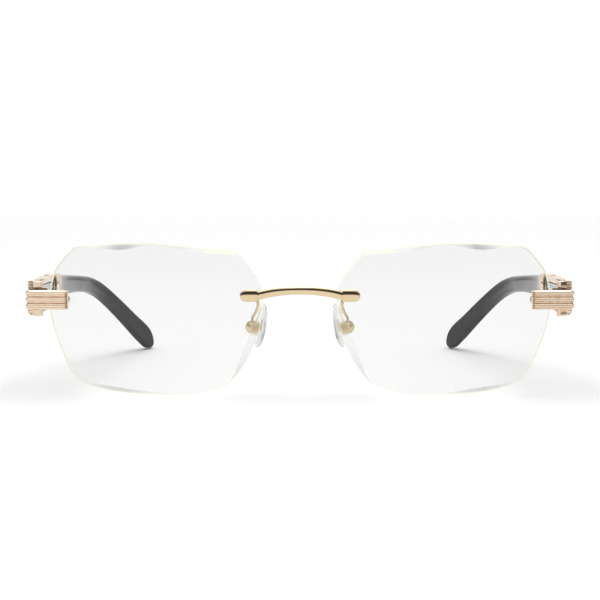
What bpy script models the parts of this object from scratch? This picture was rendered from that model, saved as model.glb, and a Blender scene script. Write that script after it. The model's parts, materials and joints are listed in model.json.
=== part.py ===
"""Rimless eyeglasses: drilled lenses, reeded gold hardware, folding black temples.

Units are metres. The lenses face -Y, the temples run to +Y, X = 0 is the plane of
symmetry and the glasses stand on Z = 0 on the lenses' lower edges and the temple tips.
Left is the wearer's left, at +X. Each paired piece is drawn for +X and mirrored. Drawing
sizes are in millimetres with Y = 0 at the lenses; place() moves that to the middle of the
glasses and scales it to metres.
"""
import math

import bmesh
import bpy
from mathutils import Matrix, Vector

MM = 0.001
SIDES = {"left": 1, "right": -1}
GAP = 0.05                      # clearance between pieces that touch, in mm
ORIGIN_Y = 64.9                 # from the lenses' front to the middle of the glasses

# Lenses (all sizes below are in millimetres)
LENS_RADIUS = 150.0             # front curve
LENS_VERTEX = (26.3, 22.0)      # where the front curve is nearest to the viewer, |x| and z
LENS_THICKNESS = 2.0
LENS_CENTRE = (38.5, 20.0)
LENS_OUTLINE = (
    (32.1, 39.7), (41.0, 40.3), (52.0, 40.1), (58.6, 39.7), (61.2, 38.3), (63.2, 36.2), (65.7, 32.7),
    (66.9, 28.4), (67.2, 25.3), (67.0, 22.0), (65.6, 16.2), (63.5, 10.8), (60.8, 5.0), (59.0, 3.1),
    (52.7, 1.3), (44.4, 0.2), (34.4, 0.0), (27.6, 0.3), (20.6, 2.3), (18.0, 3.9), (14.7, 8.4), (12.2, 13.3),
    (10.6, 18.2), (9.9, 24.0), (10.5, 29.6), (13.4, 34.4), (15.8, 37.2), (18.2, 38.4))
LENS_STEPS = 2                  # outline points per control point
LENS_RINGS = (0.8, 0.42)
# Bevels ground on the front corner: start and end angle in degrees round the lens centre, width
BEVELS = ((20.0, 80.0, 1.5), (102.0, 156.0, 1.3), (172.0, 219.0, 2.0), (258.0, 324.0, 1.1))
BEVEL_MIN = 0.12
BEVEL_SLOPE = 0.75              # bevel depth over bevel width

# Bridge
LUG_INNER, LUG_OUTER = 11.3, 15.9
LUG_Z, LUG_HALF = 26.6, 1.55
BRIDGE_Z = 28.2
BRIDGE_HALF, BRIDGE_END_HALF = 1.09, 1.22    # half height in the middle and at the lugs
BRIDGE_DEPTH = 2.0
BRIDGE_FORWARD = 2.6            # how far the middle of the arch stands in front of the lugs
BRIDGE_SCREW = (13.0, LUG_Z)
BRIDGE_PEG_X = 14.9

# Endpieces
BLOCK_INNER, BLOCK_OUTER = 61.7, 73.0
BLOCK_LOW, BLOCK_HIGH = 22.75, 27.87
BLOCK_FRONT_INNER, BLOCK_FRONT_OUTER = 2.3, 3.2
BLOCK_BACK = 6.3
BARS = 3
ENDPIECE_SCREW = (63.4, 25.3)
ENDPIECE_PEG_X = 65.8

# Lens screws, bushings and pegs
SCREW_SHANK, SCREW_HEAD, SCREW_HEAD_HEIGHT = 0.5, 1.15, 0.7
BUSHING_OUTER, FLANGE_OUTER, FLANGE_THICKNESS = 0.8, 1.35, 0.3
PEG_RADIUS = 0.45

# Hinges
HINGE_X, HINGE_Y = 70.0, 7.4
KNUCKLE_RADIUS = 1.0
KNUCKLE_BORE = 0.5
PIN_RADIUS = 0.45
FRONT_KNUCKLE = (22.6, 28.3)
CAP_LOW, CAP_HIGH = 20.75, 30.1

# Nose pads
PAD_AXIS_X, PAD_AXIS_Z = 12.9, 17.9
PAD_BOX_FRONT, PAD_BOX_BACK = 5.4, 8.3
PAD_PLATE = 0.8
PAD_DRUM = 1.7
PAD_CENTRE = (10.7, 10.3, 18.0)
PAD_HALF = (0.95, 3.2, 6.0)     # half thickness, half width, half height
PAD_SPLAY, PAD_TILT = 24.0, 10.0

# Temples
TEMPLE_FRONT = 9.5
TRIM_END = 33.0
COLLAR_START, COLLAR_END = 36.5, 44.0
CAP_OUTER = 73.05
TRIM_OUTER = (73.45, 74.2)      # outer face of the trim at its front and at its rear end
TRIM_WALL = (73.05, 73.3)       # inner face of its side wall
TRIM_CHAMFER = (1.9, 0.35)      # slope between its top and its outer face
# Each station: y, z of the middle, height across the temple, |x| of the inner face, thickness
TEMPLE_STATIONS = (
    (TEMPLE_FRONT, 24.75, 8.1, 70.1, 2.9), (TRIM_END + 0.1, 24.95, 7.6, 70.1, 3.1),
    (TRIM_END + 0.2, 26.1, 7.9, 70.0, 3.8), (45.0, 26.4, 7.0, 69.9, 3.8), (52.0, 26.5, 6.2, 69.3, 3.7),
    (60.0, 26.4, 5.5, 68.1, 3.6), (68.0, 26.0, 5.1, 66.7, 3.5), (77.0, 25.2, 5.0, 65.2, 3.4),
    (86.0, 23.3, 5.2, 63.4, 3.3), (95.0, 20.3, 5.6, 61.6, 3.2), (104.0, 16.6, 6.2, 59.6, 3.1),
    (113.0, 12.4, 7.0, 57.3, 3.0), (121.0, 8.3, 7.7, 55.0, 3.0), (128.0, 4.8, 8.2, 52.8, 3.0))
TIP_Y, TIP_Z, TIP_X = 132.5, 1.95, 50.9
TIP_ROUNDING = (0.55, 0.8, 0.95)
CORE_END = 118.0
CORE_HALF, CAVITY_HALF = 0.6, 0.9


def material(name, colour, roughness, metallic=0.0, **extra):
    made = bpy.data.materials.new(name)
    made.use_nodes = True
    shader = made.node_tree.nodes["Principled BSDF"]
    shader.inputs["Base Color"].default_value = (*colour, 1.0)
    shader.inputs["Roughness"].default_value = roughness
    shader.inputs["Metallic"].default_value = metallic
    for socket, value in extra.items():
        shader.inputs[socket.replace("_", " ")].default_value = value
    made.diffuse_color = (*colour, 1.0)
    return made


def make_materials():
    return {
        "lens": material("lens", (0.95, 0.97, 0.95), 0.02, Transmission_Weight=1.0),
        "gold": material("gold", (0.80, 0.62, 0.40), 0.12, 1.0),
        "rose_gold": material("rose_gold", (0.76, 0.52, 0.37), 0.3, 1.0),
        "steel": material("steel", (0.62, 0.60, 0.58), 0.25, 1.0),
        "clear": material("clear", (0.93, 0.94, 0.92), 0.1, Transmission_Weight=0.9),
        "silicone": material("silicone", (0.93, 0.93, 0.91), 0.2, Transmission_Weight=0.8),
        "black": material("black", (0.03, 0.03, 0.032), 0.15),
    }


def lens_front(x, z):
    """Y of the front surface of a lens at |x| and z."""
    across, up = x - LENS_VERTEX[0], z - LENS_VERTEX[1]
    return LENS_RADIUS - math.sqrt(LENS_RADIUS ** 2 - across ** 2 - up ** 2)


def lens_frame(x, z):
    """A frame on the lens: origin on the front surface, X along it, Y through it."""
    turn = math.asin((x - LENS_VERTEX[0]) / LENS_RADIUS)
    return Matrix.Translation((x, lens_front(x, z), z)) @ Matrix.Rotation(turn, 4, "Z")


def catmull_rom(points, steps, closed=False):
    """Points along a smooth curve through the given ones."""
    count = len(points)
    result = []
    for index in range(count if closed else count - 1):
        if closed:
            ends = [points[(index + offset) % count] for offset in (-1, 0, 1, 2)]
        else:
            ends = [points[min(max(index + offset, 0), count - 1)] for offset in (-1, 0, 1, 2)]
        before, start, end, after = (Vector(point) for point in ends)
        for step in range(steps):
            t = step / steps
            result.append(0.5 * (2 * start + (end - before) * t
                                 + (2 * before - 5 * start + 4 * end - after) * t ** 2
                                 + (3 * start - before - 3 * end + after) * t ** 3))
    return result if closed else result + [Vector(points[-1])]


def skin(rings):
    """A closed body through rings of equal length, with a flat cap at each end."""
    body = bmesh.new()
    rows = [[body.verts.new(point) for point in ring] for ring in rings]
    count = len(rows[0])
    for row, following in zip(rows, rows[1:]):
        for index in range(count):
            beside = (index + 1) % count
            body.faces.new((row[index], row[beside], following[beside], following[index]))
    body.faces.new(rows[0])
    body.faces.new(rows[-1])
    return body


def sleeve(outer, inner):
    """A closed body between an outer and an inner stack of rings, open along its middle."""
    body = bmesh.new()
    walls = [[[body.verts.new(point) for point in ring] for ring in wall] for wall in (outer, inner)]
    loops = walls[0] + walls[1][::-1]
    count = len(loops[0])
    for row, following in zip(loops, loops[1:] + loops[:1]):
        for index in range(count):
            beside = (index + 1) % count
            body.faces.new((row[index], row[beside], following[beside], following[index]))
    return body


def turned(profile, segments=16):
    """A solid of revolution about Y through (radius, y) points; radius 0 closes an end."""
    body = bmesh.new()
    rows = []
    for radius, y in profile:
        if radius == 0:
            rows.append([body.verts.new((0, y, 0))])
            continue
        angles = [2 * math.pi * step / segments for step in range(segments)]
        rows.append([body.verts.new((radius * math.cos(a), y, radius * math.sin(a))) for a in angles])
    for row, following in zip(rows, rows[1:]):
        for index in range(segments):
            beside = (index + 1) % segments
            corners = [row[index % len(row)], row[beside % len(row)],
                       following[beside % len(following)], following[index % len(following)]]
            body.faces.new(list(dict.fromkeys(corners)))
    return body


def prism(outline, low, high, axis="Z"):
    """An outline in two axes carried from low to high along the third one."""
    order = {"X": lambda a, b, c: (c, a, b), "Y": lambda a, b, c: (a, c, b), "Z": lambda a, b, c: (a, b, c)}[axis]
    return skin([[order(a, b, level) for a, b in outline] for level in (low, high)])


def box(x, y, z):
    return prism(((x[0], y[0]), (x[1], y[0]), (x[1], y[1]), (x[0], y[1])), z[0], z[1])


def arc(centre, radius, start, end, steps):
    """Points of an arc, with its angles in degrees."""
    angles = [math.radians(start + (end - start) * step / steps) for step in range(steps + 1)]
    return [(centre[0] + radius * math.cos(a), centre[1] + radius * math.sin(a)) for a in angles]


def cylinder(radius, low, high, segments=16):
    return turned(((0, low), (radius, low), (radius, high), (0, high)), segments)


def moved(body, matrix):
    bmesh.ops.transform(body, matrix=matrix, verts=body.verts)
    return body


def turned_up(body, x, y):
    """Stand a body that was turned about Y upright at x, y."""
    return moved(body, Matrix.Translation((x, y, 0)) @ Matrix.Rotation(math.radians(90), 4, "X"))


def place(name, body, look, side=1, parent=None, sharp=35.0):
    """Make the object: mirror it to its side, scale it to metres, hang it on its parent."""
    origin = parent.location if parent else Vector((0, 0, 0))
    to_middle = Matrix.Translation((0, -ORIGIN_Y, 0))
    moved(body, Matrix.Translation(-origin) @ Matrix.Diagonal((side * MM, MM, MM, 1)) @ to_middle)
    bmesh.ops.remove_doubles(body, verts=body.verts, dist=1e-7)
    bmesh.ops.recalc_face_normals(body, faces=body.faces)
    mesh = bpy.data.meshes.new(name)
    body.to_mesh(mesh)
    body.free()
    mesh.materials.append(look)
    mesh.shade_smooth()
    mesh.set_sharp_from_angle(angle=math.radians(sharp))
    made = bpy.data.objects.new(name, mesh)
    made.parent = parent
    bpy.context.collection.objects.link(made)
    return made


def pivot(name, x, y, z):
    """An empty on a joint's axis, which carries the pieces that move with it."""
    made = bpy.data.objects.new(name, None)
    made.location = (x * MM, (y - ORIGIN_Y) * MM, z * MM)
    made.empty_display_size = 0.005
    bpy.context.collection.objects.link(made)
    return made


def change(target, cutter, operation="DIFFERENCE"):
    """Cut a hidden body out of the target, or join it on."""
    cutter.hide_render = True
    cutter.hide_set(True)
    cutter.display_type = "WIRE"
    modifier = target.modifiers.new(cutter.name, "BOOLEAN")
    modifier.operation = operation
    modifier.solver = "EXACT"
    modifier.object = cutter


def bevel_width(x, z):
    """Width of the ground bevel at an outline point."""
    angle = math.degrees(math.atan2(z - LENS_CENTRE[1], x - LENS_CENTRE[0])) % 360
    width = BEVEL_MIN
    for start, end, most in BEVELS:
        if start < angle < end:
            width = max(width, most * math.sin(math.pi * (angle - start) / (end - start)))
    return width


def lens_body():
    outline = catmull_rom(LENS_OUTLINE, LENS_STEPS, closed=True)
    centre = Vector(LENS_CENTRE)
    inset = []
    for point in outline:
        inwards = (centre - point).normalized()
        inset.append(point + inwards * bevel_width(*point))
    edge = [(p.x, lens_front(*q) + (p - q).length * BEVEL_SLOPE, p.y) for p, q in zip(outline, inset)]
    back_edge = [(p.x, lens_front(*p) + LENS_THICKNESS, p.y) for p in outline]
    front_rows = [[centre + (p - centre) * ratio for p in inset] for ratio in (1.0, *LENS_RINGS)]
    back_rows = [[centre + (p - centre) * ratio for p in outline] for ratio in LENS_RINGS]
    rings = [[(p.x, lens_front(*p), p.y) for p in row] for row in front_rows[::-1]]
    rings += [edge, back_edge]
    rings += [[(p.x, lens_front(*p) + LENS_THICKNESS, p.y) for p in row] for row in back_rows]
    body = skin(rings)
    caps = [face for face in body.faces if len(face.verts) > 4]
    for face in caps:
        middle = bmesh.ops.poke(body, faces=[face])["verts"][0]
        back = LENS_THICKNESS if middle.co.y > LENS_THICKNESS * 0.5 + lens_front(*LENS_CENTRE) else 0.0
        middle.co.y = lens_front(middle.co.x, middle.co.z) + back
    return body


def build_lens(name, side, looks):
    lens = place(f"lens_{name}", lens_body(), looks["lens"], side)
    for label, (x, z), peg_x in (("bridge", BRIDGE_SCREW, BRIDGE_PEG_X),
                                 ("endpiece", ENDPIECE_SCREW, ENDPIECE_PEG_X)):
        screw_hole = moved(cylinder(BUSHING_OUTER + GAP, -2, 5), lens_frame(x, z))
        peg_hole = moved(cylinder(PEG_RADIUS + GAP, -2, 5), lens_frame(peg_x, z))
        change(lens, place(f"cut_{label}_screw_{name}", screw_hole, looks["clear"], side))
        change(lens, place(f"cut_{label}_peg_{name}", peg_hole, looks["clear"], side))


def build_lens_screw(label, name, side, spot, clamp, blind, looks):
    """Bushing and screw through the lens; clamp is what the head holds, blind its bite."""
    frame = lens_frame(*spot)
    flange = LENS_THICKNESS + 2 * GAP
    flange_back = flange + FLANGE_THICKNESS
    bore = SCREW_SHANK + GAP
    outer = [(BUSHING_OUTER, GAP), (BUSHING_OUTER, flange), (FLANGE_OUTER, flange), (FLANGE_OUTER, flange_back)]
    inner = [(bore, flange_back), (bore, GAP)]
    profile = outer + inner
    body = turned(profile + profile[:1])
    bmesh.ops.remove_doubles(body, verts=body.verts, dist=1e-5)
    place(f"{label}_bushing_{name}", moved(body, frame), looks["clear"], side)
    seat = flange_back + GAP + clamp
    top = seat + SCREW_HEAD_HEIGHT
    slot = 0.25
    screw = turned(((0, -blind), (SCREW_SHANK, -blind), (SCREW_SHANK, seat), (SCREW_HEAD, seat),
                    (SCREW_HEAD, top - slot), (SCREW_HEAD * 0.85, top), (0, top)))
    made = place(f"{label}_screw_{name}", moved(screw, frame), looks["steel"], side)
    groove = moved(box((-2, 2), (top - slot, top + 1), (-0.15, 0.15)), frame)
    change(made, place(f"cut_{label}_slot_{name}", groove, looks["steel"], side))


def bridge_section(x):
    """Middle y, middle z, half depth and half height of the bridge at x."""
    reach = abs(x)
    back = lens_front(min(max(reach, LUG_INNER), LUG_OUTER), LUG_Z) - GAP
    if reach >= LUG_INNER:
        end = max(0.0, (reach - (LUG_OUTER - LUG_HALF)) / LUG_HALF)
        half = LUG_HALF * math.sqrt(max(0.0, 1 - min(end, 0.97) ** 2))
        return back - 0.65, LUG_Z, 0.65, max(half, 0.4)
    t = math.cos(math.pi * reach / LUG_INNER) * 0.5 + 0.5
    half = BRIDGE_END_HALF + (BRIDGE_HALF - BRIDGE_END_HALF) * t
    depth = BRIDGE_DEPTH / 2 * (0.8 + 0.2 * t)
    drop = (BRIDGE_Z - LUG_Z) * (reach / LUG_INNER) ** 2
    return back - 0.85 - BRIDGE_FORWARD * t, BRIDGE_Z - drop, depth, half


def oval(x, y, z, depth, half, power=2.6, count=12):
    """A rounded section across X."""
    ring = []
    for step in range(count):
        angle = 2 * math.pi * (step + 0.5) / count
        c, s = math.cos(angle), math.sin(angle)
        ring.append((x, y + depth * math.copysign(abs(c) ** (2 / power), c),
                     z + half * math.copysign(abs(s) ** (2 / power), s)))
    return ring


def build_bridge(looks):
    lug = [LUG_OUTER - LUG_HALF * (1 - math.cos(math.radians(a))) for a in (14, 30, 50, 70, 90)]
    arch = [LUG_INNER * step / 8 for step in range(7, 0, -1)]
    stations = lug + [LUG_INNER + 0.05, LUG_INNER - 0.1] + arch + [0.0]
    stations += [-x for x in stations[-2::-1]]
    bridge = place("bridge", skin([oval(x, *bridge_section(x)) for x in stations]), looks["gold"])
    for name, side in SIDES.items():
        bore = moved(cylinder(SCREW_SHANK + GAP, -0.9, 1.0), lens_frame(*BRIDGE_SCREW))
        change(bridge, place(f"cut_bridge_{name}", bore, looks["gold"], side))
        peg = moved(cylinder(PEG_RADIUS, -0.6, LENS_THICKNESS), lens_frame(BRIDGE_PEG_X, LUG_Z))
        change(bridge, place(f"add_peg_{name}", peg, looks["gold"], side), "UNION")


def block_back(x):
    return lens_front(x, ENDPIECE_SCREW[1]) - 2 * GAP if x < LENS_OUTLINE[8][0] + 0.15 else BLOCK_BACK


def block_front(x):
    share = (x - BLOCK_INNER) / (BLOCK_OUTER - BLOCK_INNER)
    return BLOCK_FRONT_INNER + (BLOCK_FRONT_OUTER - BLOCK_FRONT_INNER) * share


def block_section(x, depth_cut):
    """Reeded section of the endpiece block across X: bars with a groove between them."""
    front, back = block_front(x), block_back(x)
    pitch = (BLOCK_HIGH - BLOCK_LOW) / BARS
    ring = [(x, back, BLOCK_LOW + 0.1), (x, front + 0.5, BLOCK_LOW)]
    for bar in range(BARS):
        low = BLOCK_LOW + bar * pitch
        ring += [(x, front + depth_cut + 0.3, low + 0.08), (x, front + depth_cut, low + pitch * 0.3),
                 (x, front + depth_cut, low + pitch * 0.7), (x, front + depth_cut + 0.3, low + pitch - 0.08)]
    return ring + [(x, front + 0.5, BLOCK_HIGH), (x, back, BLOCK_HIGH - 0.1)]


def build_endpiece(name, side, looks):
    lens_side = [BLOCK_INNER + 0.3 + step * 0.88 for step in range(1, 7)]
    edge = LENS_OUTLINE[8][0] + 0.15
    stations = [BLOCK_INNER, BLOCK_INNER + 0.3, *lens_side, edge - 0.01, edge, BLOCK_OUTER - 0.5, BLOCK_OUTER]
    rings = [block_section(x, 0.35 if x in (stations[0], stations[-1]) else 0.0) for x in stations]
    block = place(f"endpiece_{name}", skin(rings), looks["rose_gold"], side)
    bore = moved(cylinder(SCREW_SHANK + GAP, -1.2, 1.5), lens_frame(*ENDPIECE_SCREW))
    change(block, place(f"cut_endpiece_{name}", bore, looks["rose_gold"], side))
    frame = lens_frame(ENDPIECE_PEG_X, ENDPIECE_SCREW[1])
    peg = moved(cylinder(PEG_RADIUS, -0.8, LENS_THICKNESS), frame)
    change(block, place(f"add_block_peg_{name}", peg, looks["rose_gold"], side), "UNION")


def build_front_hinge(name, side, looks):
    """The middle knuckle and its leaf on the back of the endpiece."""
    low, high = FRONT_KNUCKLE
    round_side = arc((HINGE_X, HINGE_Y), KNUCKLE_RADIUS, -60, 160, 14)
    leaf_back = HINGE_Y - 0.1
    outline = round_side + [(67.65, leaf_back), (67.65, BLOCK_BACK + GAP), (HINGE_X + 0.5, BLOCK_BACK + GAP)]
    hinge = place(f"front_hinge_{name}", prism(outline, low, high), looks["rose_gold"], side)
    bore = turned_up(cylinder(KNUCKLE_BORE, low - 1, high + 1), HINGE_X, HINGE_Y)
    change(hinge, place(f"cut_front_hinge_{name}", bore, looks["rose_gold"], side))


def build_hinge_screw(name, side, looks):
    low, high = CAP_LOW + 0.15, CAP_HIGH - 0.1
    head = high - 0.6
    screw = turned(((0, low), (PIN_RADIUS, low), (PIN_RADIUS, head), (0.75, head), (0.75, high), (0, high)))
    made = place(f"hinge_screw_{name}", turned_up(screw, HINGE_X, HINGE_Y), looks["steel"], side)
    groove = box((HINGE_X - 1, HINGE_X + 1), (HINGE_Y - 0.12, HINGE_Y + 0.12), (high - 0.25, high + 1))
    change(made, place(f"cut_hinge_slot_{name}", groove, looks["steel"], side))


def build_pad_arm(name, side, looks):
    """Plate behind the lens and the bent wire that carries the pad box."""
    frame = lens_frame(*BRIDGE_SCREW)
    front = LENS_THICKNESS + FLANGE_THICKNESS + 3 * GAP
    x_low, x_high, half = -1.6, 2.6, 1.45
    outline = [(x_low, -half), (x_high - half, -half)]
    outline += arc((x_high - half, 0), half, -80, 80, 8) + [(x_high - half, half), (x_low, half)]
    plate = moved(prism(outline, front, front + 0.7, "Y"), frame)
    arm = place(f"pad_arm_{name}", plate, looks["gold"], side)
    bore = moved(cylinder(SCREW_SHANK + GAP, front - 1, front + 2), frame)
    change(arm, place(f"cut_pad_arm_{name}", bore, looks["gold"], side))
    route = ((12.0, 3.4, 25.9), (11.3, 3.55, 24.6), (11.3, 3.8, 23.4), (11.7, 4.2, 22.2), (12.2, 4.8, 21.3),
             (12.7, 5.5, 20.65), (12.9, 6.0, 20.0))
    path = catmull_rom(route, 3)
    rings = []
    for index, point in enumerate(path):
        along = (path[min(index + 1, len(path) - 1)] - path[max(index - 1, 0)]).normalized()
        sideways = along.cross(Vector((0, 1, 0.3))).normalized()
        third = along.cross(sideways)
        radius = 0.45 - 0.12 * index / len(path)
        rings.append([point + radius * (sideways * math.cos(a) + third * math.sin(a))
                      for a in (2 * math.pi * step / 10 for step in range(10))])
    change(arm, place(f"add_pad_wire_{name}", skin(rings), looks["gold"], side), "UNION")


def build_pad_box(name, side, looks):
    """Clevis of two plates and an outer web, with the screw through both plates."""
    centre = (PAD_AXIS_X, PAD_AXIS_Z)
    round_plate = arc(centre, PAD_DRUM, -142, 142, 14)
    drum = prism(round_plate, PAD_BOX_FRONT, PAD_BOX_BACK, "Y")
    drum = place(f"pad_box_{name}", drum, looks["gold"], side)
    slot = box((PAD_AXIS_X - 4, PAD_AXIS_X + 1.25), (PAD_BOX_FRONT + PAD_PLATE, PAD_BOX_BACK - PAD_PLATE),
               (PAD_AXIS_Z - 3, PAD_AXIS_Z + 3))
    change(drum, place(f"cut_pad_slot_{name}", slot, looks["gold"], side))
    axis = Matrix.Translation((PAD_AXIS_X, 0, PAD_AXIS_Z))
    bore = moved(cylinder(0.5, PAD_BOX_FRONT - 1, PAD_BOX_BACK + 1), axis)
    change(drum, place(f"cut_pad_bore_{name}", bore, looks["gold"], side))
    head = PAD_BOX_FRONT - GAP
    screw = turned(((0, head - 0.6), (0.9, head - 0.6), (1.1, head - 0.4), (1.1, head), (0.45, head),
                    (0.45, PAD_BOX_BACK), (0, PAD_BOX_BACK)))
    screw = place(f"pad_screw_{name}", moved(screw, axis), looks["gold"], side)
    for label, (wide, tall) in (("a", (0.8, 0.15)), ("b", (0.15, 0.8))):
        groove = box((PAD_AXIS_X - wide, PAD_AXIS_X + wide), (head - 1, head - 0.3),
                     (PAD_AXIS_Z - tall, PAD_AXIS_Z + tall))
        change(screw, place(f"cut_pad_cross_{label}_{name}", groove, looks["gold"], side))


def pad_frame():
    """X points at the lens side through the pad, Y along its width, Z along its height."""
    return (Matrix.Translation(PAD_CENTRE) @ Matrix.Rotation(math.radians(-PAD_TILT), 4, "Y")
            @ Matrix.Rotation(math.radians(-PAD_SPLAY), 4, "Z"))


def build_nose_pad(name, side, looks):
    centre = pivot(f"pad_pivot_{name}", side * PAD_AXIS_X, (PAD_BOX_FRONT + PAD_BOX_BACK) / 2, PAD_AXIS_Z)
    body = bmesh.new()
    bmesh.ops.create_uvsphere(body, u_segments=20, v_segments=12, radius=1.0)
    for vertex in body.verts:
        x, y, z = vertex.co
        drop = 1.0 - 0.18 * z
        vertex.co = (PAD_HALF[0] * x, PAD_HALF[1] * y * drop, PAD_HALF[2] * z)
    pad = place(f"nose_pad_{name}", moved(body, pad_frame()), looks["silicone"], side, centre)
    tab_half = (0.3, 1.2, 1.6)
    pocket_half = [half + GAP for half in tab_half]
    depth = 0.25
    pocket = box((depth - pocket_half[0], 3.0), (-pocket_half[1], pocket_half[1]),
                 (-pocket_half[2], pocket_half[2]))
    change(pad, place(f"cut_pad_pocket_{name}", moved(pocket, pad_frame()), looks["clear"], side, centre))
    tab = box((depth - tab_half[0], depth + tab_half[0]), (-tab_half[1], tab_half[1]),
              (-tab_half[2], tab_half[2]))
    insert = place(f"pad_insert_{name}", moved(tab, pad_frame()), looks["gold"], side, centre)
    axis = Matrix.Translation((PAD_AXIS_X, 0, PAD_AXIS_Z))
    front, back = PAD_BOX_FRONT + PAD_PLATE + GAP, PAD_BOX_BACK - PAD_PLATE - GAP
    neck = prism(((PAD_AXIS_X, front), (PAD_AXIS_X, back), (11.4, back), (11.4, 8.5), (11.6, 8.9), (11.6, 9.6),
                  (11.25, 10.0), (10.85, 10.0), (11.1, 9.3), (11.1, 8.75), (10.75, 8.0), (10.8, front)),
                 PAD_AXIS_Z - 0.6, PAD_AXIS_Z + 0.6)
    eye = moved(cylinder(1.05, front, back), axis)
    change(insert, place(f"add_pad_neck_{name}", neck, looks["gold"], side, centre), "UNION")
    change(insert, place(f"add_pad_eye_{name}", eye, looks["gold"], side, centre), "UNION")
    bore = moved(cylinder(0.5, front - 1, back + 1), axis)
    change(insert, place(f"cut_pad_eye_{name}", bore, looks["gold"], side, centre))


def build_temple_cap(name, side, looks, centre):
    """Ribbed cap with the two outer knuckles and a tongue that goes into the temple."""
    ribs = 4
    inner, front, back = HINGE_X + KNUCKLE_RADIUS + GAP, BLOCK_BACK + 2 * GAP, TEMPLE_FRONT - GAP
    pitch = (CAP_OUTER - inner) / ribs
    outline = [(inner, back), (inner, front)]
    for rib in range(ribs):
        outline += [(inner + (rib + 0.5) * pitch, front), (inner + (rib + 1) * pitch, front + 0.12)]
    outline += [(CAP_OUTER, back)]
    bottom = CAP_LOW + 0.5
    cap = place(f"temple_cap_{name}", prism(outline, bottom, CAP_HIGH), looks["rose_gold"], side, centre)
    for label, low, high in (("low", CAP_LOW, FRONT_KNUCKLE[0] - GAP), ("high", FRONT_KNUCKLE[1] + GAP, CAP_HIGH)):
        round_side = arc((HINGE_X, HINGE_Y), KNUCKLE_RADIUS, 90, 270, 12)
        foot = [(inner + 0.5, HINGE_Y - KNUCKLE_RADIUS), (inner + 0.5, HINGE_Y + KNUCKLE_RADIUS)]
        body = prism(round_side + foot, low, high)
        change(cap, place(f"add_knuckle_{label}_{name}", body, looks["rose_gold"], side, centre), "UNION")
    for label, radius, low, high in (("pin", KNUCKLE_BORE, CAP_LOW - 1, CAP_HIGH + 1),
                                     ("head", 0.8, CAP_HIGH - 0.75, CAP_HIGH + 1)):
        bore = turned_up(cylinder(radius, low, high), HINGE_X, HINGE_Y)
        change(cap, place(f"cut_cap_{label}_{name}", bore, looks["rose_gold"], side, centre))
    tongue = box((71.05, 72.25), (back - 0.5, TEMPLE_FRONT + 5.0), (23.6, 25.9))
    change(cap, place(f"add_tongue_{name}", tongue, looks["rose_gold"], side, centre), "UNION")
    rivet_hole = moved(cylinder(0.45, 70, 74), rivet_frame())
    change(cap, place(f"cut_tongue_{name}", rivet_hole, looks["rose_gold"], side, centre))


def rivet_frame():
    return Matrix.Translation((0, TEMPLE_FRONT + 3.0, 24.75)) @ Matrix.Rotation(math.radians(-90), 4, "Z")


def temple_sections(stations, power, count):
    """Rings across the temple, each square to its middle line in the side view."""
    rings = []
    for index, (y, z, height, inner, thickness) in enumerate(stations):
        before, after = stations[max(index - 1, 0)], stations[min(index + 1, len(stations) - 1)]
        slope = math.atan2(after[1] - before[1], after[0] - before[0]) if y > TRIM_END + 1 else 0.0
        ring = []
        for step in range(count):
            angle = 2 * math.pi * (step + 0.5) / count
            c, s = math.cos(angle), math.sin(angle)
            out = thickness / 2 * math.copysign(abs(c) ** (2 / power), c)
            up = height / 2 * math.copysign(abs(s) ** (2 / power), s)
            ring.append((inner + thickness / 2 + out, y - up * math.sin(slope), z + up * math.cos(slope)))
        rings.append(ring)
    return rings


def temple_tip():
    """The stations of the round tip, each smaller than the one before."""
    last = TEMPLE_STATIONS[-1]
    tip = []
    for share in TIP_ROUNDING:
        shrink = math.sqrt(1 - share ** 2)
        y, z, inner = (a + (b - a) * share for a, b in zip((last[0], last[1], last[3]), (TIP_Y, TIP_Z, TIP_X)))
        thickness = last[4] * (0.4 + 0.6 * shrink)
        tip.append((y + 0.8 * share, z, last[2] * shrink, inner + (last[4] - thickness) / 2, thickness))
    return tip


def core_path():
    """The middle line of the core wire: inside the temple, from the cavity's mouth to CORE_END."""
    stations = [s for s in TEMPLE_STATIONS if s[0] < CORE_END]
    return [(y, z, inner + thickness / 2) for y, z, _, inner, thickness in stations]


def square_rings(path, half):
    return [[(x - half, y, z - half), (x + half, y, z - half), (x + half, y, z + half), (x - half, y, z + half)]
            for y, z, x in path]


def build_temple_arm(name, side, looks, centre):
    rings = temple_sections(list(TEMPLE_STATIONS) + temple_tip(), 4.0, 16)
    arm = place(f"temple_arm_{name}", skin(rings), looks["black"], side, centre)
    mouth = box((70.95, 72.35), (TEMPLE_FRONT - 1, TEMPLE_FRONT + 5.4), (23.5, 26.0))
    change(arm, place(f"cut_mouth_{name}", mouth, looks["black"], side, centre))
    path = [(TEMPLE_FRONT + 5.0, 24.8, 71.65)] + core_path()[1:]
    cavity = place(f"cut_cavity_{name}", skin(square_rings(path, CAVITY_HALF)), looks["black"], side, centre)
    change(arm, cavity)
    hole = moved(cylinder(0.5, 69, 75), rivet_frame())
    change(arm, place(f"cut_rivet_{name}", hole, looks["black"], side, centre))


def build_temple_core(name, side, looks, centre):
    path = [(TEMPLE_FRONT + 5.7, 24.8, 71.65)] + core_path()[1:-1]
    y, z, x = core_path()[-1]
    path.append((y - 1.0, z + 0.4, x + 0.2))
    place(f"temple_core_{name}", skin(square_rings(path, CORE_HALF)), looks["steel"], side, centre)


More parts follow.
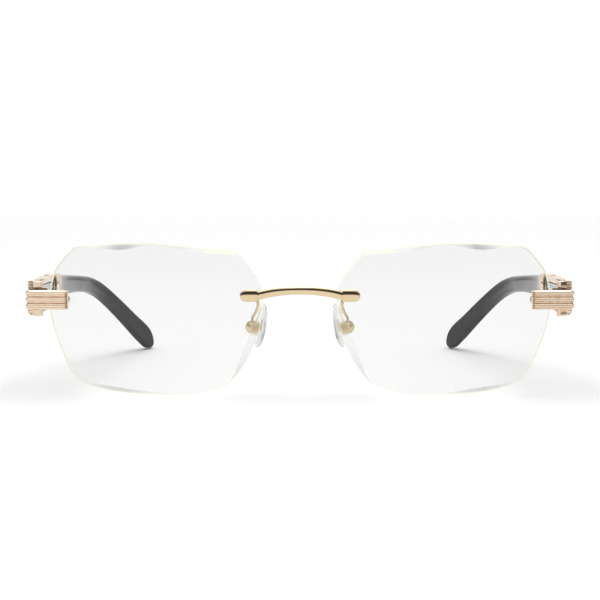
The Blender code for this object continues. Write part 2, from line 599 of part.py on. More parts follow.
def build_temple_trim(name, side, looks, centre):
    """Ribbed angle over the top and the outer side of the temple's front."""
    top, lip = CAP_HIGH + 0.2, 28.95
    low, inner = 21.2, 70.1
    ribs = 7
    rings = []
    for y, outer, wall, chamfer in zip((TEMPLE_FRONT + GAP, TRIM_END), TRIM_OUTER, TRIM_WALL, TRIM_CHAMFER):
        shoulder = top - chamfer * 0.6
        pitch = (shoulder - low) / ribs
        outline = [(inner, lip), (inner, top - 0.2), (inner + 0.2, top), (outer - chamfer, top), (outer, shoulder)]
        for rib in range(ribs):
            outline += [(outer, shoulder - (rib + 0.7) * pitch), (outer - 0.18, shoulder - (rib + 0.85) * pitch),
                        (outer, shoulder - (rib + 1.0) * pitch)]
        outline += [(wall, low), (wall, lip)]
        rings.append([(x, y, z) for x, z in outline])
    trim = place(f"temple_trim_{name}", skin(rings), looks["rose_gold"], side, centre)
    hole = moved(cylinder(0.5, 73, 75), rivet_frame())
    change(trim, place(f"cut_trim_{name}", hole, looks["rose_gold"], side, centre))


def build_temple_rivet(name, side, looks, centre):
    rivet = turned(((0, 69.8), (0.75, 69.8), (0.9, 70.05), (0.4, 70.05), (0.4, 73.4), (0, 73.4)), 16)
    place(f"temple_rivet_{name}", moved(rivet, rivet_frame()), looks["steel"], side, centre)


def build_temple_collar(name, side, looks, centre):
    """Reeded collar that fits round the temple."""
    bore, skin_rings = [], []
    for y in (COLLAR_START, COLLAR_END):
        share = (y - TRIM_END - 0.2) / (45.0 - TRIM_END - 0.2)
        z, height = 26.1 + 0.3 * share, 7.9 - 0.9 * share
        bore.append((y, z, height + 0.3, 69.75, 4.15))
        skin_rings.append((y, z, height + 1.2, 69.3, 5.05))
    count = 40
    inner, outer = temple_sections(bore, 5.0, count), temple_sections(skin_rings, 5.0, count)
    for ring in outer:
        for index in range(0, count, 2):
            x, y, z = ring[index]
            ring[index] = (x + (71.85 - x) * 0.06, y, z + (26.2 - z) * 0.03)
    place(f"temple_collar_{name}", sleeve(outer, inner), looks["rose_gold"], side, centre)


def build_temple(name, side, looks):
    centre = pivot(f"temple_pivot_{name}", side * HINGE_X, HINGE_Y, (CAP_LOW + CAP_HIGH) / 2)
    build_temple_cap(name, side, looks, centre)
    build_temple_arm(name, side, looks, centre)
    build_temple_core(name, side, looks, centre)
    build_temple_trim(name, side, looks, centre)
    build_temple_rivet(name, side, looks, centre)
    build_temple_collar(name, side, looks, centre)


def main():
    for item in list(bpy.data.objects):
        bpy.data.objects.remove(item, do_unlink=True)
    looks = make_materials()
    build_bridge(looks)
    for name, side in SIDES.items():
        build_lens(name, side, looks)
        build_lens_screw("bridge", name, side, BRIDGE_SCREW, 0.7 + GAP, 0.8, looks)
        build_lens_screw("endpiece", name, side, ENDPIECE_SCREW, 0.0, 1.0, looks)
        build_endpiece(name, side, looks)
        build_front_hinge(name, side, looks)
        build_hinge_screw(name, side, looks)
        build_pad_arm(name, side, looks)
        build_pad_box(name, side, looks)
        build_nose_pad(name, side, looks)
        build_temple(name, side, looks)


main()
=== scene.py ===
"""Rimless eyeglasses: the finished surfaces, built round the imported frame.

Shapes are drawn in millimetres for the wearer's left side, with Y = 0 at the lenses' front,
and to_object() mirrors them, scales them to metres and moves them to where the frame has them.
"""

import json
import math

import bmesh
import bpy
from mathutils import Matrix, Vector


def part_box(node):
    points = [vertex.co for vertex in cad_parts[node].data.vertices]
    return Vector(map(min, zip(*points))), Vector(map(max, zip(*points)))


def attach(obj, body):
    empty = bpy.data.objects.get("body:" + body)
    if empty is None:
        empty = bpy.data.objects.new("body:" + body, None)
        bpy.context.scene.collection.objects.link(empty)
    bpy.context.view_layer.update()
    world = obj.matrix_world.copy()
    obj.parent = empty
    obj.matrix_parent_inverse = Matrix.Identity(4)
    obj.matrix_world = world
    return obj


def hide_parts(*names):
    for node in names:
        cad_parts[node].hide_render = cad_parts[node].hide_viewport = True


# Blender's startup objects go first, so that the bounds taken below hold the frame alone
for startup in ("Cube", "Light", "Camera"):
    if startup in bpy.data.objects:
        bpy.data.objects.remove(bpy.data.objects[startup], do_unlink=True)

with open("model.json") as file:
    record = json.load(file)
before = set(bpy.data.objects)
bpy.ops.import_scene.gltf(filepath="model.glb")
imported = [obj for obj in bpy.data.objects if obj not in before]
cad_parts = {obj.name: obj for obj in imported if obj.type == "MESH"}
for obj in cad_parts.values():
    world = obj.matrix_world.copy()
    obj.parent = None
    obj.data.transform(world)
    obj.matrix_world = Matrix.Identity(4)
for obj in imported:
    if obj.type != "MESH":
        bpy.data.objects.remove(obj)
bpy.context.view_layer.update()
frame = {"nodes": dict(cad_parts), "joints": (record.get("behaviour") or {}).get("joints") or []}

bl_info = {
    "name": "Rimless Eyeglasses",
    "version": (1, 0, 0),
    "blender": (4, 5, 0),
    "location": "3D View > Sidebar > Eyeglasses",
    "description": "Builds the finished surfaces of a pair of rimless eyeglasses round its frame",
    "category": "Mesh",
}

MM = 0.001
SIDES = {"left": 1, "right": -1}
FRONT_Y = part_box("lens_left")[0].y
JOINTS = {joint["name"]: joint["pos_m"] for joint in frame["joints"]}
HINGE, PAD_PIVOT = JOINTS["temple_left_fold"], JOINTS["pad_left_rock"]
GAP = 0.05


def drawn(node):
    """The lowest and highest corner of a node of the frame, in drawing millimetres."""
    low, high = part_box(node)
    shift = Vector((0, FRONT_Y, 0))
    return (low - shift) / MM, (high - shift) / MM


# Lens outline of the wearer's left lens: |x| and z, clockwise from the top
LENS_OUTLINE = (
    (32.1, 39.7), (41.0, 40.3), (52.0, 40.1), (58.6, 39.7), (61.2, 38.3), (63.2, 36.2), (65.7, 32.7),
    (66.9, 28.4), (67.2, 25.3), (67.0, 22.0), (65.6, 16.2), (63.5, 10.8), (60.8, 5.0), (59.0, 3.1),
    (52.7, 1.3), (44.4, 0.2), (34.4, 0.0), (27.6, 0.3), (20.6, 2.3), (18.0, 3.9), (14.7, 8.4),
    (12.2, 13.3), (10.6, 18.2), (9.9, 24.0), (10.5, 29.6), (13.4, 34.4), (15.8, 37.2), (18.2, 38.4))
LENS_OUTSIDE = max(x for x, z in LENS_OUTLINE)
LENS_THICKNESS = 2.0
LENS_CENTRE = (38.5, 20.0)
LENS_VERTEX = (26.3, 22.0)
LENS_RINGS = (0.97, 0.88, 0.76, 0.62, 0.46, 0.3, 0.15)
# Bevels ground on the front corner: degrees round the lens centre where each starts, ends and is widest,
# and how wide it is there
BEVELS = ((45.0, 84.0, 62.0, 1.4), (102.0, 156.0, 128.0, 1.3), (172.0, 219.0, 192.0, 2.0),
          (258.0, 324.0, 306.0, 1.1))
BEVEL_SLOPE = 0.75
LEAST_BEVEL = 0.04
# Ground chamfer all round the front corner; it is wider at the outer side
CHAMFER, CHAMFER_OUTSIDE, CHAMFER_SLOPE = 0.24, 0.26, 1.0
BACK_CHAMFER = 0.12
# Faces whose normals keep less of the front's direction than this are satin, then ground
BEVEL_NORMAL, GROUND_NORMAL = 0.88, 0.76

# Screws through the lens, in clear bushings that have a flange behind it
LENS_BORE = 0.85
SCREW_SHANK, SCREW_HEAD = 0.5, 1.15
BUSHING_FLANGE = 0.3
BEHIND_LENS = LENS_THICKNESS + BUSHING_FLANGE + 3 * GAP
PAD_PLATE = 0.7

# Bridge
LUG_INNER, LUG_OUTER = 11.3, 15.9
LUG_Z, LUG_HALF = 26.6, 1.55
BRIDGE_Z, BRIDGE_FORWARD = 28.2, 2.6
BRIDGE_HALF, BRIDGE_END_HALF = 1.09, 1.22
BRIDGE_SCREW, BRIDGE_PEG = (13.0, LUG_Z), (14.9, LUG_Z)
ENDPIECE_SCREW, ENDPIECE_PEG = (63.4, 25.3), (65.8, 25.3)
PEG_RADIUS = 0.45

# Reeded endpiece: its rear face beyond the lens, the plain strip and the rounded outer end
BLOCK_BACK = 6.3
BLOCK_EDGE = LENS_OUTSIDE + 0.15
STRIP_WIDTH, END_ROUND = 0.16, 0.8

# Trim at its front and at its rear end: outer face, inner face of its side wall, chamfer
TRIM_FRONT, TRIM_REAR = (73.45, 73.05, 1.9), (74.2, 73.3, 0.35)
TRIM_LIP = 28.95
TRIM_REEDS = (3, 2, 12)      # on the top, the chamfer and the side
TRIM_REED_DEPTH = 0.18

CAP_RIBS, CAP_RIB_DEPTH = 12, 0.17

# Collar: y, z of the middle and height of the temple under it at both ends; inner face and thickness
# of its outside and of its bore; the |x| that its reeds are cut towards
COLLAR_FRONT, COLLAR_REAR = (33.2, 26.1, 7.9), (45.0, 26.4, 7.0)
COLLAR_OUTSIDE, COLLAR_BORE = (69.3, 5.05), (69.75, 4.15)
COLLAR_MIDDLE = 71.82
COLLAR_REEDS, COLLAR_REED_DEPTH = 28, 0.26
COLLAR_SQUARENESS = 5.0

PAD_DRUM = 1.7
PAD_CENTRE = (10.7, 10.3, 18.0)
PAD_HALF = (0.95, 3.2, 6.0)
PAD_SPLAY, PAD_TILT = 24.0, 10.0
PAD_TAB = (1.2, 1.6)         # half width and half height of the tab inside it

HINGE_X, HINGE_Y = HINGE[0] / MM, (HINGE[1] - FRONT_Y) / MM
KNUCKLE = 1.0
CAP_BACK = 9.5
PAD_AXIS_X, PAD_AXIS_Z = PAD_PIVOT[0] / MM, PAD_PIVOT[2] / MM
PAD_CHEEK = 0.8
PIVOT_PIN, PIVOT_BORE = 0.45, 0.5

# Each station of the temple: y, z of the middle, height across it, |x| of the inner face, thickness
TEMPLE_STATIONS = (
    (33.3, 26.1, 7.9, 70.0, 3.8), (45.0, 26.4, 7.0, 69.9, 3.8), (52.0, 26.5, 6.2, 69.3, 3.7),
    (60.0, 26.4, 5.5, 68.1, 3.6), (68.0, 26.0, 5.1, 66.7, 3.5), (77.0, 25.2, 5.0, 65.2, 3.4),
    (86.0, 23.3, 5.2, 63.4, 3.3), (95.0, 20.3, 5.6, 61.6, 3.2), (104.0, 16.6, 6.2, 59.6, 3.1),
    (113.0, 12.4, 7.0, 57.3, 3.0), (121.0, 8.3, 7.7, 55.0, 3.0), (128.0, 4.8, 8.2, 52.8, 3.0))
# The plain root under the trim: z, height, inner face and thickness at its front and rear; its stations
ROOT_FRONT, ROOT_REAR = (24.75, 8.1, 70.1, 2.9), (24.95, 7.6, 70.1, 3.1)
ROOT_STATIONS = ((9.5, 0.0), (9.7, 0.01), (21.3, 0.5), (33.1, 1.0))
ROOT_SQUARENESS = 5.0
SHOULDER_Y, SHOULDER_INSET = 33.2, (0, 0.25, -0.12, 0.24)
TIP_Y, TIP_Z, TIP_X = 132.5, 1.95, 50.9
TIP_STEPS = 9
LEAN, LEAN_START, LEAN_END = 0.06, 58.0, 90.0     # how far the section leans, and where it starts to
WORN_START, WORN_END = 56.0, 98.0                 # where the gloss starts to go and where it is gone
# Tongue of the cap in the mouth of the temple, and the rivet through both
TONGUE_X, TONGUE_END, TONGUE_Z = (71.05, 72.25), 14.5, (23.6, 25.9)
RIVET_Y, RIVET_Z, RIVET_SHANK = 12.5, 24.75, 0.4

FLOOR_Z = -0.00005
# Lamps: name, place, diameter and power
LAMPS = (("key", (-0.5, -0.5, 0.9), 0.7, 0.5), ("fill", (0.7, -0.2, 0.7), 0.6, 0.3))


class LensSettings(bpy.types.PropertyGroup):
    """Sizes and colours of the lenses."""
    thickness: bpy.props.FloatProperty(
        name="Thickness", description="Thickness of a lens", default=LENS_THICKNESS * MM, unit="LENGTH")
    curve_radius: bpy.props.FloatProperty(
        name="Curve radius", description="Radius of the lens's front curve", default=150.0 * MM,
        unit="LENGTH")
    tint: bpy.props.FloatVectorProperty(
        name="Tint", description="Colour that the lens gives to light", subtype="COLOR",
        default=(0.922, 0.927, 0.920), min=0, max=1)
    # Also sets the colour of the painted glow on the ground edge
    edge_colour: bpy.props.FloatVectorProperty(
        name="Edge colour", description="Colour of the ground edge", subtype="COLOR",
        default=(0.80, 0.84, 0.68), min=0, max=1)
    index: bpy.props.FloatProperty(
        name="Index", description="Index of refraction, lowered for the coating", default=1.33,
        min=1, max=2)


class MetalSettings(bpy.types.PropertyGroup):
    """Sizes and colours of the metal pieces."""
    rose: bpy.props.FloatVectorProperty(
        name="Rose gold", description="Colour of the reeded pieces", subtype="COLOR",
        default=(0.93, 0.74, 0.565), min=0, max=1)
    champagne: bpy.props.FloatVectorProperty(
        name="Champagne gold", description="Colour of the bridge and the pad arms", subtype="COLOR",
        default=(0.79, 0.63, 0.40), min=0, max=1)
    steel: bpy.props.FloatVectorProperty(
        name="Steel", description="Colour of the screws", subtype="COLOR",
        default=(0.62, 0.59, 0.55), min=0, max=1)
    reeds: bpy.props.IntProperty(
        name="Reeds", description="Fine reeds on each endpiece", default=9, min=3, max=15)
    reed_depth: bpy.props.FloatProperty(
        name="Reed depth", description="Depth of the grooves between reeds", default=0.19 * MM,
        unit="LENGTH")


class TempleSettings(bpy.types.PropertyGroup):
    """Sizes and colours of the temples and the nose pads."""
    black: bpy.props.FloatVectorProperty(
        name="Black", description="Colour of the temples", subtype="COLOR",
        default=(0.009, 0.009, 0.010), min=0, max=1)
    streak: bpy.props.FloatVectorProperty(
        name="Streak", description="Lighter streaks in the temples", subtype="COLOR",
        default=(0.02, 0.019, 0.019), min=0, max=1)
    squareness: bpy.props.FloatProperty(
        name="Squareness", description="How square the section of a temple is", default=3.6,
        min=2, max=8)
    silicone: bpy.props.FloatVectorProperty(
        name="Silicone", description="Colour of the nose pads", subtype="COLOR",
        default=(0.96, 0.965, 0.97), min=0, max=1)


class StageSettings(bpy.types.PropertyGroup):
    """Camera, floor and light."""
    distance: bpy.props.FloatProperty(
        name="Distance", description="From the camera to the lenses", default=0.4, unit="LENGTH")
    height: bpy.props.FloatProperty(
        name="Height", description="Of the camera above the floor", default=0.052, unit="LENGTH")
    aim: bpy.props.FloatProperty(
        name="Aim", description="Height of the point that the camera looks at", default=0.0255,
        unit="LENGTH")
    focal: bpy.props.FloatProperty(
        name="Focal length", description="Focal length of the camera in millimetres", default=91.2,
        min=1)
    brightness: bpy.props.FloatProperty(
        name="Brightness", description="Brightness of the white surroundings", default=1.02, min=0)
    ceiling: bpy.props.FloatProperty(
        name="Ceiling", description="Brightness of the ceiling beside the white screen's", default=0.76,
        min=0)
    panel: bpy.props.FloatProperty(
        name="Panel", description="Brightness of the lit panel above and behind beside the white screen's",
        default=3.5, min=0)
    through: bpy.props.FloatProperty(
        name="Through glass", description="Brightness of the walls as seen through clear pieces",
        default=0.6, min=0)
    walls: bpy.props.FloatProperty(
        name="Walls", description="Brightness of the side walls beside the white screen's",
        default=0.12, min=0)
    front_wall: bpy.props.FloatProperty(
        name="Front wall", description="Brightness of the wall that the glasses face", default=0.05,
        min=0)


class Wire:
    """An output socket that can be used in arithmetic: each operation adds a Math node."""

    def __init__(self, graph, socket):
        self.graph = graph
        self.socket = socket

    def math(self, operation, first, second):
        return self.graph.node("ShaderNodeMath", {"operation": operation}, {0: first, 1: second})

    def __add__(self, other):
        return self.math("ADD", self, other)

    __radd__ = __add__

    def __sub__(self, other):
        return self.math("SUBTRACT", self, other)

    def __rsub__(self, other):
        return self.math("SUBTRACT", other, self)

    def __mul__(self, other):
        return self.math("MULTIPLY", self, other)

    __rmul__ = __mul__


class Graph:
    """A node tree whose nodes are all added by one method."""

    def __init__(self, tree):
        self.tree = tree

    def node(self, kind, settings=None, sockets=None, output=0):
        """Add a node, set it up, feed its inputs, and return one of its outputs."""
        made = self.tree.nodes.new(kind)
        for name, value in (settings or {}).items():
            if name == "stops":
                self.set_stops(made.color_ramp, value)
            else:
                setattr(made, name, value)
        for key, value in (sockets or {}).items():
            self.feed(made.inputs[key], value)
        return Wire(self, made.outputs[output])

    def feed(self, socket, value):
        if isinstance(value, Wire):
            self.tree.links.new(value.socket, socket)
        else:
            socket.default_value = value

    @staticmethod
    def set_stops(ramp, stops):
        for index, (position, colour) in enumerate(stops):
            stop = ramp.elements[index] if index < 2 else ramp.elements.new(position)
            stop.position = position
            stop.color = (*colour, 1.0)

    def place(self):
        """Position on the piece, in metres."""
        return self.node("ShaderNodeTexCoord", output="Object")

    def along(self, vector, axis):
        """One of a vector's parts."""
        return self.node("ShaderNodeSeparateXYZ", None, {"Vector": vector}, axis)

    def stretched(self, scale):
        return self.node("ShaderNodeMapping", {"vector_type": "POINT"},
                         {"Vector": self.place(), "Scale": scale})

    def noise(self, where, scale, detail=3.0, roughness=0.5):
        return self.node("ShaderNodeTexNoise", None,
                         {"Vector": where, "Scale": scale, "Detail": detail, "Roughness": roughness})

    def ramp(self, factor, stops):
        return self.node("ShaderNodeValToRGB", {"stops": stops}, {0: factor})

    def mix(self, factor, first, second):
        pair = [value if isinstance(value, Wire) else (*value, 1.0) for value in (first, second)]
        return self.node("ShaderNodeMix", {"data_type": "RGBA"},
                         {0: factor, 6: pair[0], 7: pair[1]}, output=2)

    def soft_step(self, value, start, end):
        """0 before start, 1 after end, and smooth between them."""
        return self.node("ShaderNodeMapRange", {"interpolation_type": "SMOOTHSTEP"},
                         {0: value, 1: start, 2: end, 3: 0.0, 4: 1.0})

    def bump(self, height, strength, distance):
        return self.node("ShaderNodeBump", None,
                         {"Height": height, "Strength": strength, "Distance": distance})


def new_material(name, colour, roughness, **constants):
    """A Principled material, its graph and its shader; constants are the shader's own sockets."""
    made = bpy.data.materials.new(name)
    made.use_nodes = True
    shader = made.node_tree.nodes["Principled BSDF"]
    shader.inputs["Base Color"].default_value = (*colour, 1.0)
    shader.inputs["Roughness"].default_value = roughness
    for socket, value in constants.items():
        shader.inputs[socket.replace("_", " ")].default_value = value
    return made, Graph(made.node_tree), shader


def darker(colour, share):
    """A share of a colour's brightness."""
    return tuple(channel * share for channel in colour)


def reeded_gold(colour):
    """Satin plated metal: fine lengthwise polishing lines and slightly uneven plating."""
    made, graph, shader = new_material("reeded rose gold", colour, 0.3, Metallic=1.0)
    patches = graph.noise(graph.place(), 420.0, 3.0)
    graph.feed(shader.inputs["Base Color"], graph.mix(patches, darker(colour, 0.93), colour))
    lines = graph.noise(graph.stretched((40.0, 1400.0, 5200.0)), 1.0, 2.0)
    graph.feed(shader.inputs["Roughness"], 0.21 + lines * 0.06 + patches * 0.05)
    graph.feed(shader.inputs["Normal"], graph.bump(lines, 0.03, 0.00002))
    return made


def polished_gold(colour):
    """Mirror-bright plating with the faintest waviness and a few fine rubs."""
    made, graph, shader = new_material("polished champagne gold", colour, 0.08, Metallic=1.0)
    waves = graph.noise(graph.place(), 260.0, 2.0)
    rubs = graph.noise(graph.stretched((900.0, 5200.0, 3800.0)), 1.0, 4.0)
    graph.feed(shader.inputs["Base Color"], graph.mix(waves, darker(colour, 0.95), colour))
    graph.feed(shader.inputs["Roughness"], 0.05 + rubs * 0.07)
    graph.feed(shader.inputs["Normal"], graph.bump(waves, 0.05, 0.00003))
    return made


def turned_steel(colour):
    """Bright turned steel with fine, irregular tool marks."""
    made, graph, shader = new_material("turned steel", colour, 0.25, Metallic=1.0)
    marks = graph.noise(graph.place(), 2600.0, 2.0)
    graph.feed(shader.inputs["Base Color"], graph.mix(marks, darker(colour, 0.8), colour))
    graph.feed(shader.inputs["Roughness"], 0.18 + marks * 0.18)
    graph.feed(shader.inputs["Normal"], graph.bump(marks, 0.1, 0.00003))
    return made


def black_acetate(black, streak):
    """Black temple plastic: long faint streaks, fine handling marks, and a gloss worn off the drop."""
    made, graph, shader = new_material(
        "polished black plastic", black, 0.16, IOR=1.3, Coat_Roughness=0.06)
    grain = graph.noise(graph.stretched((900.0, 70.0, 420.0)), 1.0, 5.0, 0.6)
    streaks = graph.ramp(grain, ((0.42, (0, 0, 0)), (0.72, (1, 1, 1))))
    graph.feed(shader.inputs["Base Color"], graph.mix(streaks, black, streak))
    marks = graph.noise(graph.place(), 1500.0, 4.0)
    back = graph.along(graph.place(), "Y")
    worn = graph.soft_step(back, FRONT_Y + WORN_START * MM, FRONT_Y + WORN_END * MM)
    graph.feed(shader.inputs["Roughness"], 0.12 + marks * 0.1 + worn * 0.42)
    graph.feed(shader.inputs["Coat Weight"], 1.0 - worn)
    graph.feed(shader.inputs["Normal"], graph.bump(marks, 0.05, 0.00002))
    return made


def lens_glass(name, tint, index, roughness):
    """Tinted clear plastic with the faintest uneven film."""
    made, graph, shader = new_material(name, tint, roughness, Transmission_Weight=1.0, IOR=index)
    film = graph.noise(graph.place(), 18.0, 1.0)
    graph.feed(shader.inputs["Base Color"], graph.mix(film, tint, darker(tint, 0.992)))
    return made


def lens_edge_with_painted_glow(colour, index):
    """The ground wall of a lens: pale green, finely lined, and with a painted glow from its emission that
    stands in for the light that the lens gathers.
    """
    ground = darker(colour, 0.72)
    # Emission_Strength paints a glow on the edge, standing in for light that the lens gathers
    made, graph, shader = new_material(
        "ground lens edge with painted glow", ground, 0.3, Transmission_Weight=0.4, IOR=index, Emission_Strength=0.5)
    lines = graph.noise(graph.stretched((500.0, 6500.0, 500.0)), 1.0, 2.0)
    graph.feed(shader.inputs["Base Color"], graph.mix(lines, darker(colour, 0.67), ground))
    # Colour of the painted glow, lined like the ground edge
    graph.feed(shader.inputs["Emission Color"], graph.mix(lines, darker(colour, 0.9), colour))
    graph.feed(shader.inputs["Roughness"], 0.25 + lines * 0.15)
    return made


def clear_silicone(colour):
    """Soft clear silicone, a little cloudy inside."""
    made, graph, shader = new_material("clear silicone", colour, 0.08, Transmission_Weight=0.75, IOR=1.1)
    cloud = graph.noise(graph.place(), 300.0, 3.0)
    graph.feed(shader.inputs["Base Color"], graph.mix(cloud, darker(colour, 0.97), colour))
    graph.feed(shader.inputs["Roughness"], 0.06 + cloud * 0.1)
    return made


def clear_bushing():
    """Hard clear plastic."""
    colour = (0.93, 0.94, 0.92)
    made, graph, shader = new_material("clear bushing", colour, 0.1, Transmission_Weight=0.9, IOR=1.49)
    cloud = graph.noise(graph.place(), 900.0, 2.0)
    graph.feed(shader.inputs["Base Color"], graph.mix(cloud, darker(colour, 0.95), colour))
    graph.feed(shader.inputs["Roughness"], 0.08 + cloud * 0.1)
    return made


def studio_paper():
    """Matt white paper."""
    made, graph, shader = new_material("studio paper", (0.93,) * 3, 0.9)
    fibre = graph.noise(graph.place(), 900.0, 4.0)
    graph.feed(shader.inputs["Base Color"], graph.mix(fibre, (0.925,) * 3, (0.935,) * 3))
    return made


def make_looks(scene):
    """Every material, made once and then found by name."""
    lens, metal, temple = scene.eyeglass_lens, scene.eyeglass_metal, scene.eyeglass_temple
    return {
        "glass": lens_glass("clear lens", tuple(lens.tint), lens.index, 0.0),
        "bevel": lens_glass("satin lens bevel", tuple(lens.tint), lens.index, 0.35),
        "edge": lens_edge_with_painted_glow(tuple(lens.edge_colour), lens.index),
        "rose": reeded_gold(tuple(metal.rose)),
        "champagne": polished_gold(tuple(metal.champagne)),
        "steel": turned_steel(tuple(metal.steel)),
        "black": black_acetate(tuple(temple.black), tuple(temple.streak)),
        "silicone": clear_silicone(tuple(temple.silicone)),
        "bushing": clear_bushing(),
        "paper": studio_paper(),
    }


LOOKS = {}


def blend(first, second, share):
    """Values that lie a share of the way from the first ones to the second ones."""
    return [start + (end - start) * share for start, end in zip(first, second)]


def curve_through(points, steps, closed=False):
    """Points along a smooth curve through the given ones."""
    count = len(points)
    result = []
    for index in range(count if closed else count - 1):
        if closed:
            ends = [points[(index + offset) % count] for offset in (-1, 0, 1, 2)]
        else:
            ends = [points[min(max(index + offset, 0), count - 1)] for offset in (-1, 0, 1, 2)]
        before, start, end, after = (Vector(point) for point in ends)
        for step in range(steps):
            t = step / steps
            result.append(0.5 * (2 * start + (end - before) * t
                                 + (2 * before - 5 * start + 4 * end - after) * t ** 2
                                 + (3 * start - before - 3 * end + after) * t ** 3))
    return result if closed else result + [Vector(points[-1])]


def circle(count, offset=0.0):
    """Cosine and sine of evenly spaced angles."""
    angles = [2 * math.pi * (step + offset) / count for step in range(count)]
    return [(math.cos(angle), math.sin(angle)) for angle in angles]


def reed(across):
    """Depth of the groove beside a reed: 1 at the reed's edges and 0 on its crest."""
    return abs(math.cos(math.pi * across)) ** 1.5


def squared(value, power):
    """A cosine or sine made squarer, for the section of a squared bar."""
    return math.copysign(abs(value) ** (2 / power), value)


def arc(centre, radius, start, end, steps):
    """Points round a centre, from one angle to another in degrees."""
    angles = [math.radians(start + (end - start) * step / steps) for step in range(steps + 1)]
    return [(centre[0] + radius * math.cos(a), centre[1] + radius * math.sin(a)) for a in angles]


def skin(rings, closed=False):
    """A body through rings of equal length: capped at both ends, or closed on itself."""
    body = bmesh.new()
    rows = [[body.verts.new(point) for point in ring] for ring in rings]
    count = len(rows[0])
    pairs = list(zip(rows, rows[1:])) + ([(rows[-1], rows[0])] if closed else [])
    for row, following in pairs:
        for index in range(count):
            beside = (index + 1) % count
            body.faces.new((row[index], row[beside], following[beside], following[index]))
    if not closed:
        body.faces.new(rows[0])
        body.faces.new(rows[-1])
    return body


def turned(profile, segments=48):
    """A solid of revolution about Y through (radius, y) points; radius 0 closes an end."""
    body = bmesh.new()
    rows = []
    for radius, y in profile:
        ring = [(0.0, 0.0)] if radius == 0 else circle(segments)
        rows.append([body.verts.new((radius * c, y, radius * s)) for c, s in ring])
    for row, following in zip(rows, rows[1:]):
        for index in range(segments):
            beside = (index + 1) % segments
            corners = [row[index % len(row)], row[beside % len(row)],
                       following[beside % len(following)], following[index % len(following)]]
            body.faces.new(list(dict.fromkeys(corners)))
    return body


def cylinder(radius, low, high, segments=48):
    """A rod along Y."""
    return turned(((0, low), (radius, low), (radius, high), (0, high)), segments)


def prism(outline, low, high, axis="Z"):
    """An outline in two axes carried from low to high along the third one."""
    place = "XYZ".index(axis)
    return skin([[(*point[:place], level, *point[place:]) for point in outline] for level in (low, high)])


def box(x, y, z):
    """A block from its spans in x, y and z."""
    return prism(((x[0], y[0]), (x[1], y[0]), (x[1], y[1]), (x[0], y[1])), z[0], z[1])


def moved(body, matrix):
    bmesh.ops.transform(body, matrix=matrix, verts=body.verts)
    return body


def stood_up(body, x, y):
    """Stand a body that was turned about Y upright at x, y."""
    return moved(body, Matrix.Translation((x, y, 0)) @ Matrix.Rotation(math.radians(90), 4, "X"))


def to_object(name, body, side, sharp=32.0):
    """Mirror a drawn body to its side, scale it to metres and make an object of it."""
    to_front = Matrix.Translation((0, FRONT_Y, 0))
    moved(body, to_front @ Matrix.Diagonal((side * MM, MM, MM, 1)))
    bmesh.ops.remove_doubles(body, verts=body.verts, dist=1e-7)
    bmesh.ops.recalc_face_normals(body, faces=body.faces)
    mesh = bpy.data.meshes.new(name)
    body.to_mesh(mesh)
    body.free()
    mesh.shade_smooth()
    mesh.set_sharp_from_angle(angle=math.radians(sharp))
    made = bpy.data.objects.new(name, mesh)
    bpy.context.scene.collection.objects.link(made)
    return made


def carve(made, side, cutters=(), additions=(), sharp=32.0):
    """Cut bodies out of an object and join others on, and keep the finished mesh."""
    for operation, bodies in (("UNION", additions), ("DIFFERENCE", cutters)):
        for body in bodies:
            tool = to_object("tool", body, side)
            modifier = made.modifiers.new("carve", "BOOLEAN")
            modifier.operation = operation
            modifier.solver = "EXACT"
            modifier.object = tool
            settle(made)
            bpy.data.objects.remove(tool, do_unlink=True)
    made.data.shade_smooth()
    made.data.set_sharp_from_angle(angle=math.radians(sharp))
    return made


def settle(made):
    """Replace an object's mesh with what its modifiers make of it."""
    bpy.context.view_layer.update()
    evaluated = made.evaluated_get(bpy.context.evaluated_depsgraph_get())
    mesh = bpy.data.meshes.new_from_object(evaluated)
    old = made.data
    made.modifiers.clear()
    made.data = mesh
    bpy.data.meshes.remove(old)
    return made


def soften(made, width, segments=2, angle=35.0):
    """Round an object's sharp edges by a small bevel."""
    modifier = made.modifiers.new("soften", "BEVEL")
    modifier.width = width * MM
    modifier.segments = segments
    modifier.limit_method = "ANGLE"
    modifier.angle_limit = math.radians(angle)
    modifier.use_clamp_overlap = True
    modifier.harden_normals = False
    settle(made)
    made.data.shade_smooth()
    made.data.set_sharp_from_angle(angle=math.radians(60.0))
    return made


def dress(made, looks, slot, rides_on, *nodes):
    """Give an object its materials and its body, and hide the nodes that it stands for."""
    made.data.materials.clear()
    for look in looks:
        made.data.materials.append(LOOKS[look])
    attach(made, rides_on)
    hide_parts(*nodes)
    return made


def let_light_through(made):
    """Clear pieces shade the paper no more than the real ones do."""
    made.visible_shadow = False
    made.visible_diffuse = False


def lens_front(x, z):
    """How far the curve of the lens's front has fallen back at a place."""
    radius = bpy.context.scene.eyeglass_lens.curve_radius / MM
    across, up = x - LENS_VERTEX[0], z - LENS_VERTEX[1]
    return radius - math.sqrt(radius ** 2 - across ** 2 - up ** 2)


def lens_frame(x, z):
    """A frame on the lens: origin on the front surface, X along it, Y through it."""
    turn = math.asin((x - LENS_VERTEX[0]) * MM / bpy.context.scene.eyeglass_lens.curve_radius)
    return Matrix.Translation((x, lens_front(x, z), z)) @ Matrix.Rotation(turn, 4, "Z")


def bevel_width(x, z):
    """Width of the ground bevel at an outline point."""
    angle = math.degrees(math.atan2(z - LENS_CENTRE[1], x - LENS_CENTRE[0])) % 360
    width = 0.0
    for start, end, widest, most in BEVELS:
        if start < angle < widest:
            width = max(width, most * math.sin(math.pi / 2 * (angle - start) / (widest - start)))
        elif widest <= angle < end:
            width = max(width, most * math.cos(math.pi / 2 * (angle - widest) / (end - widest)))
    return width


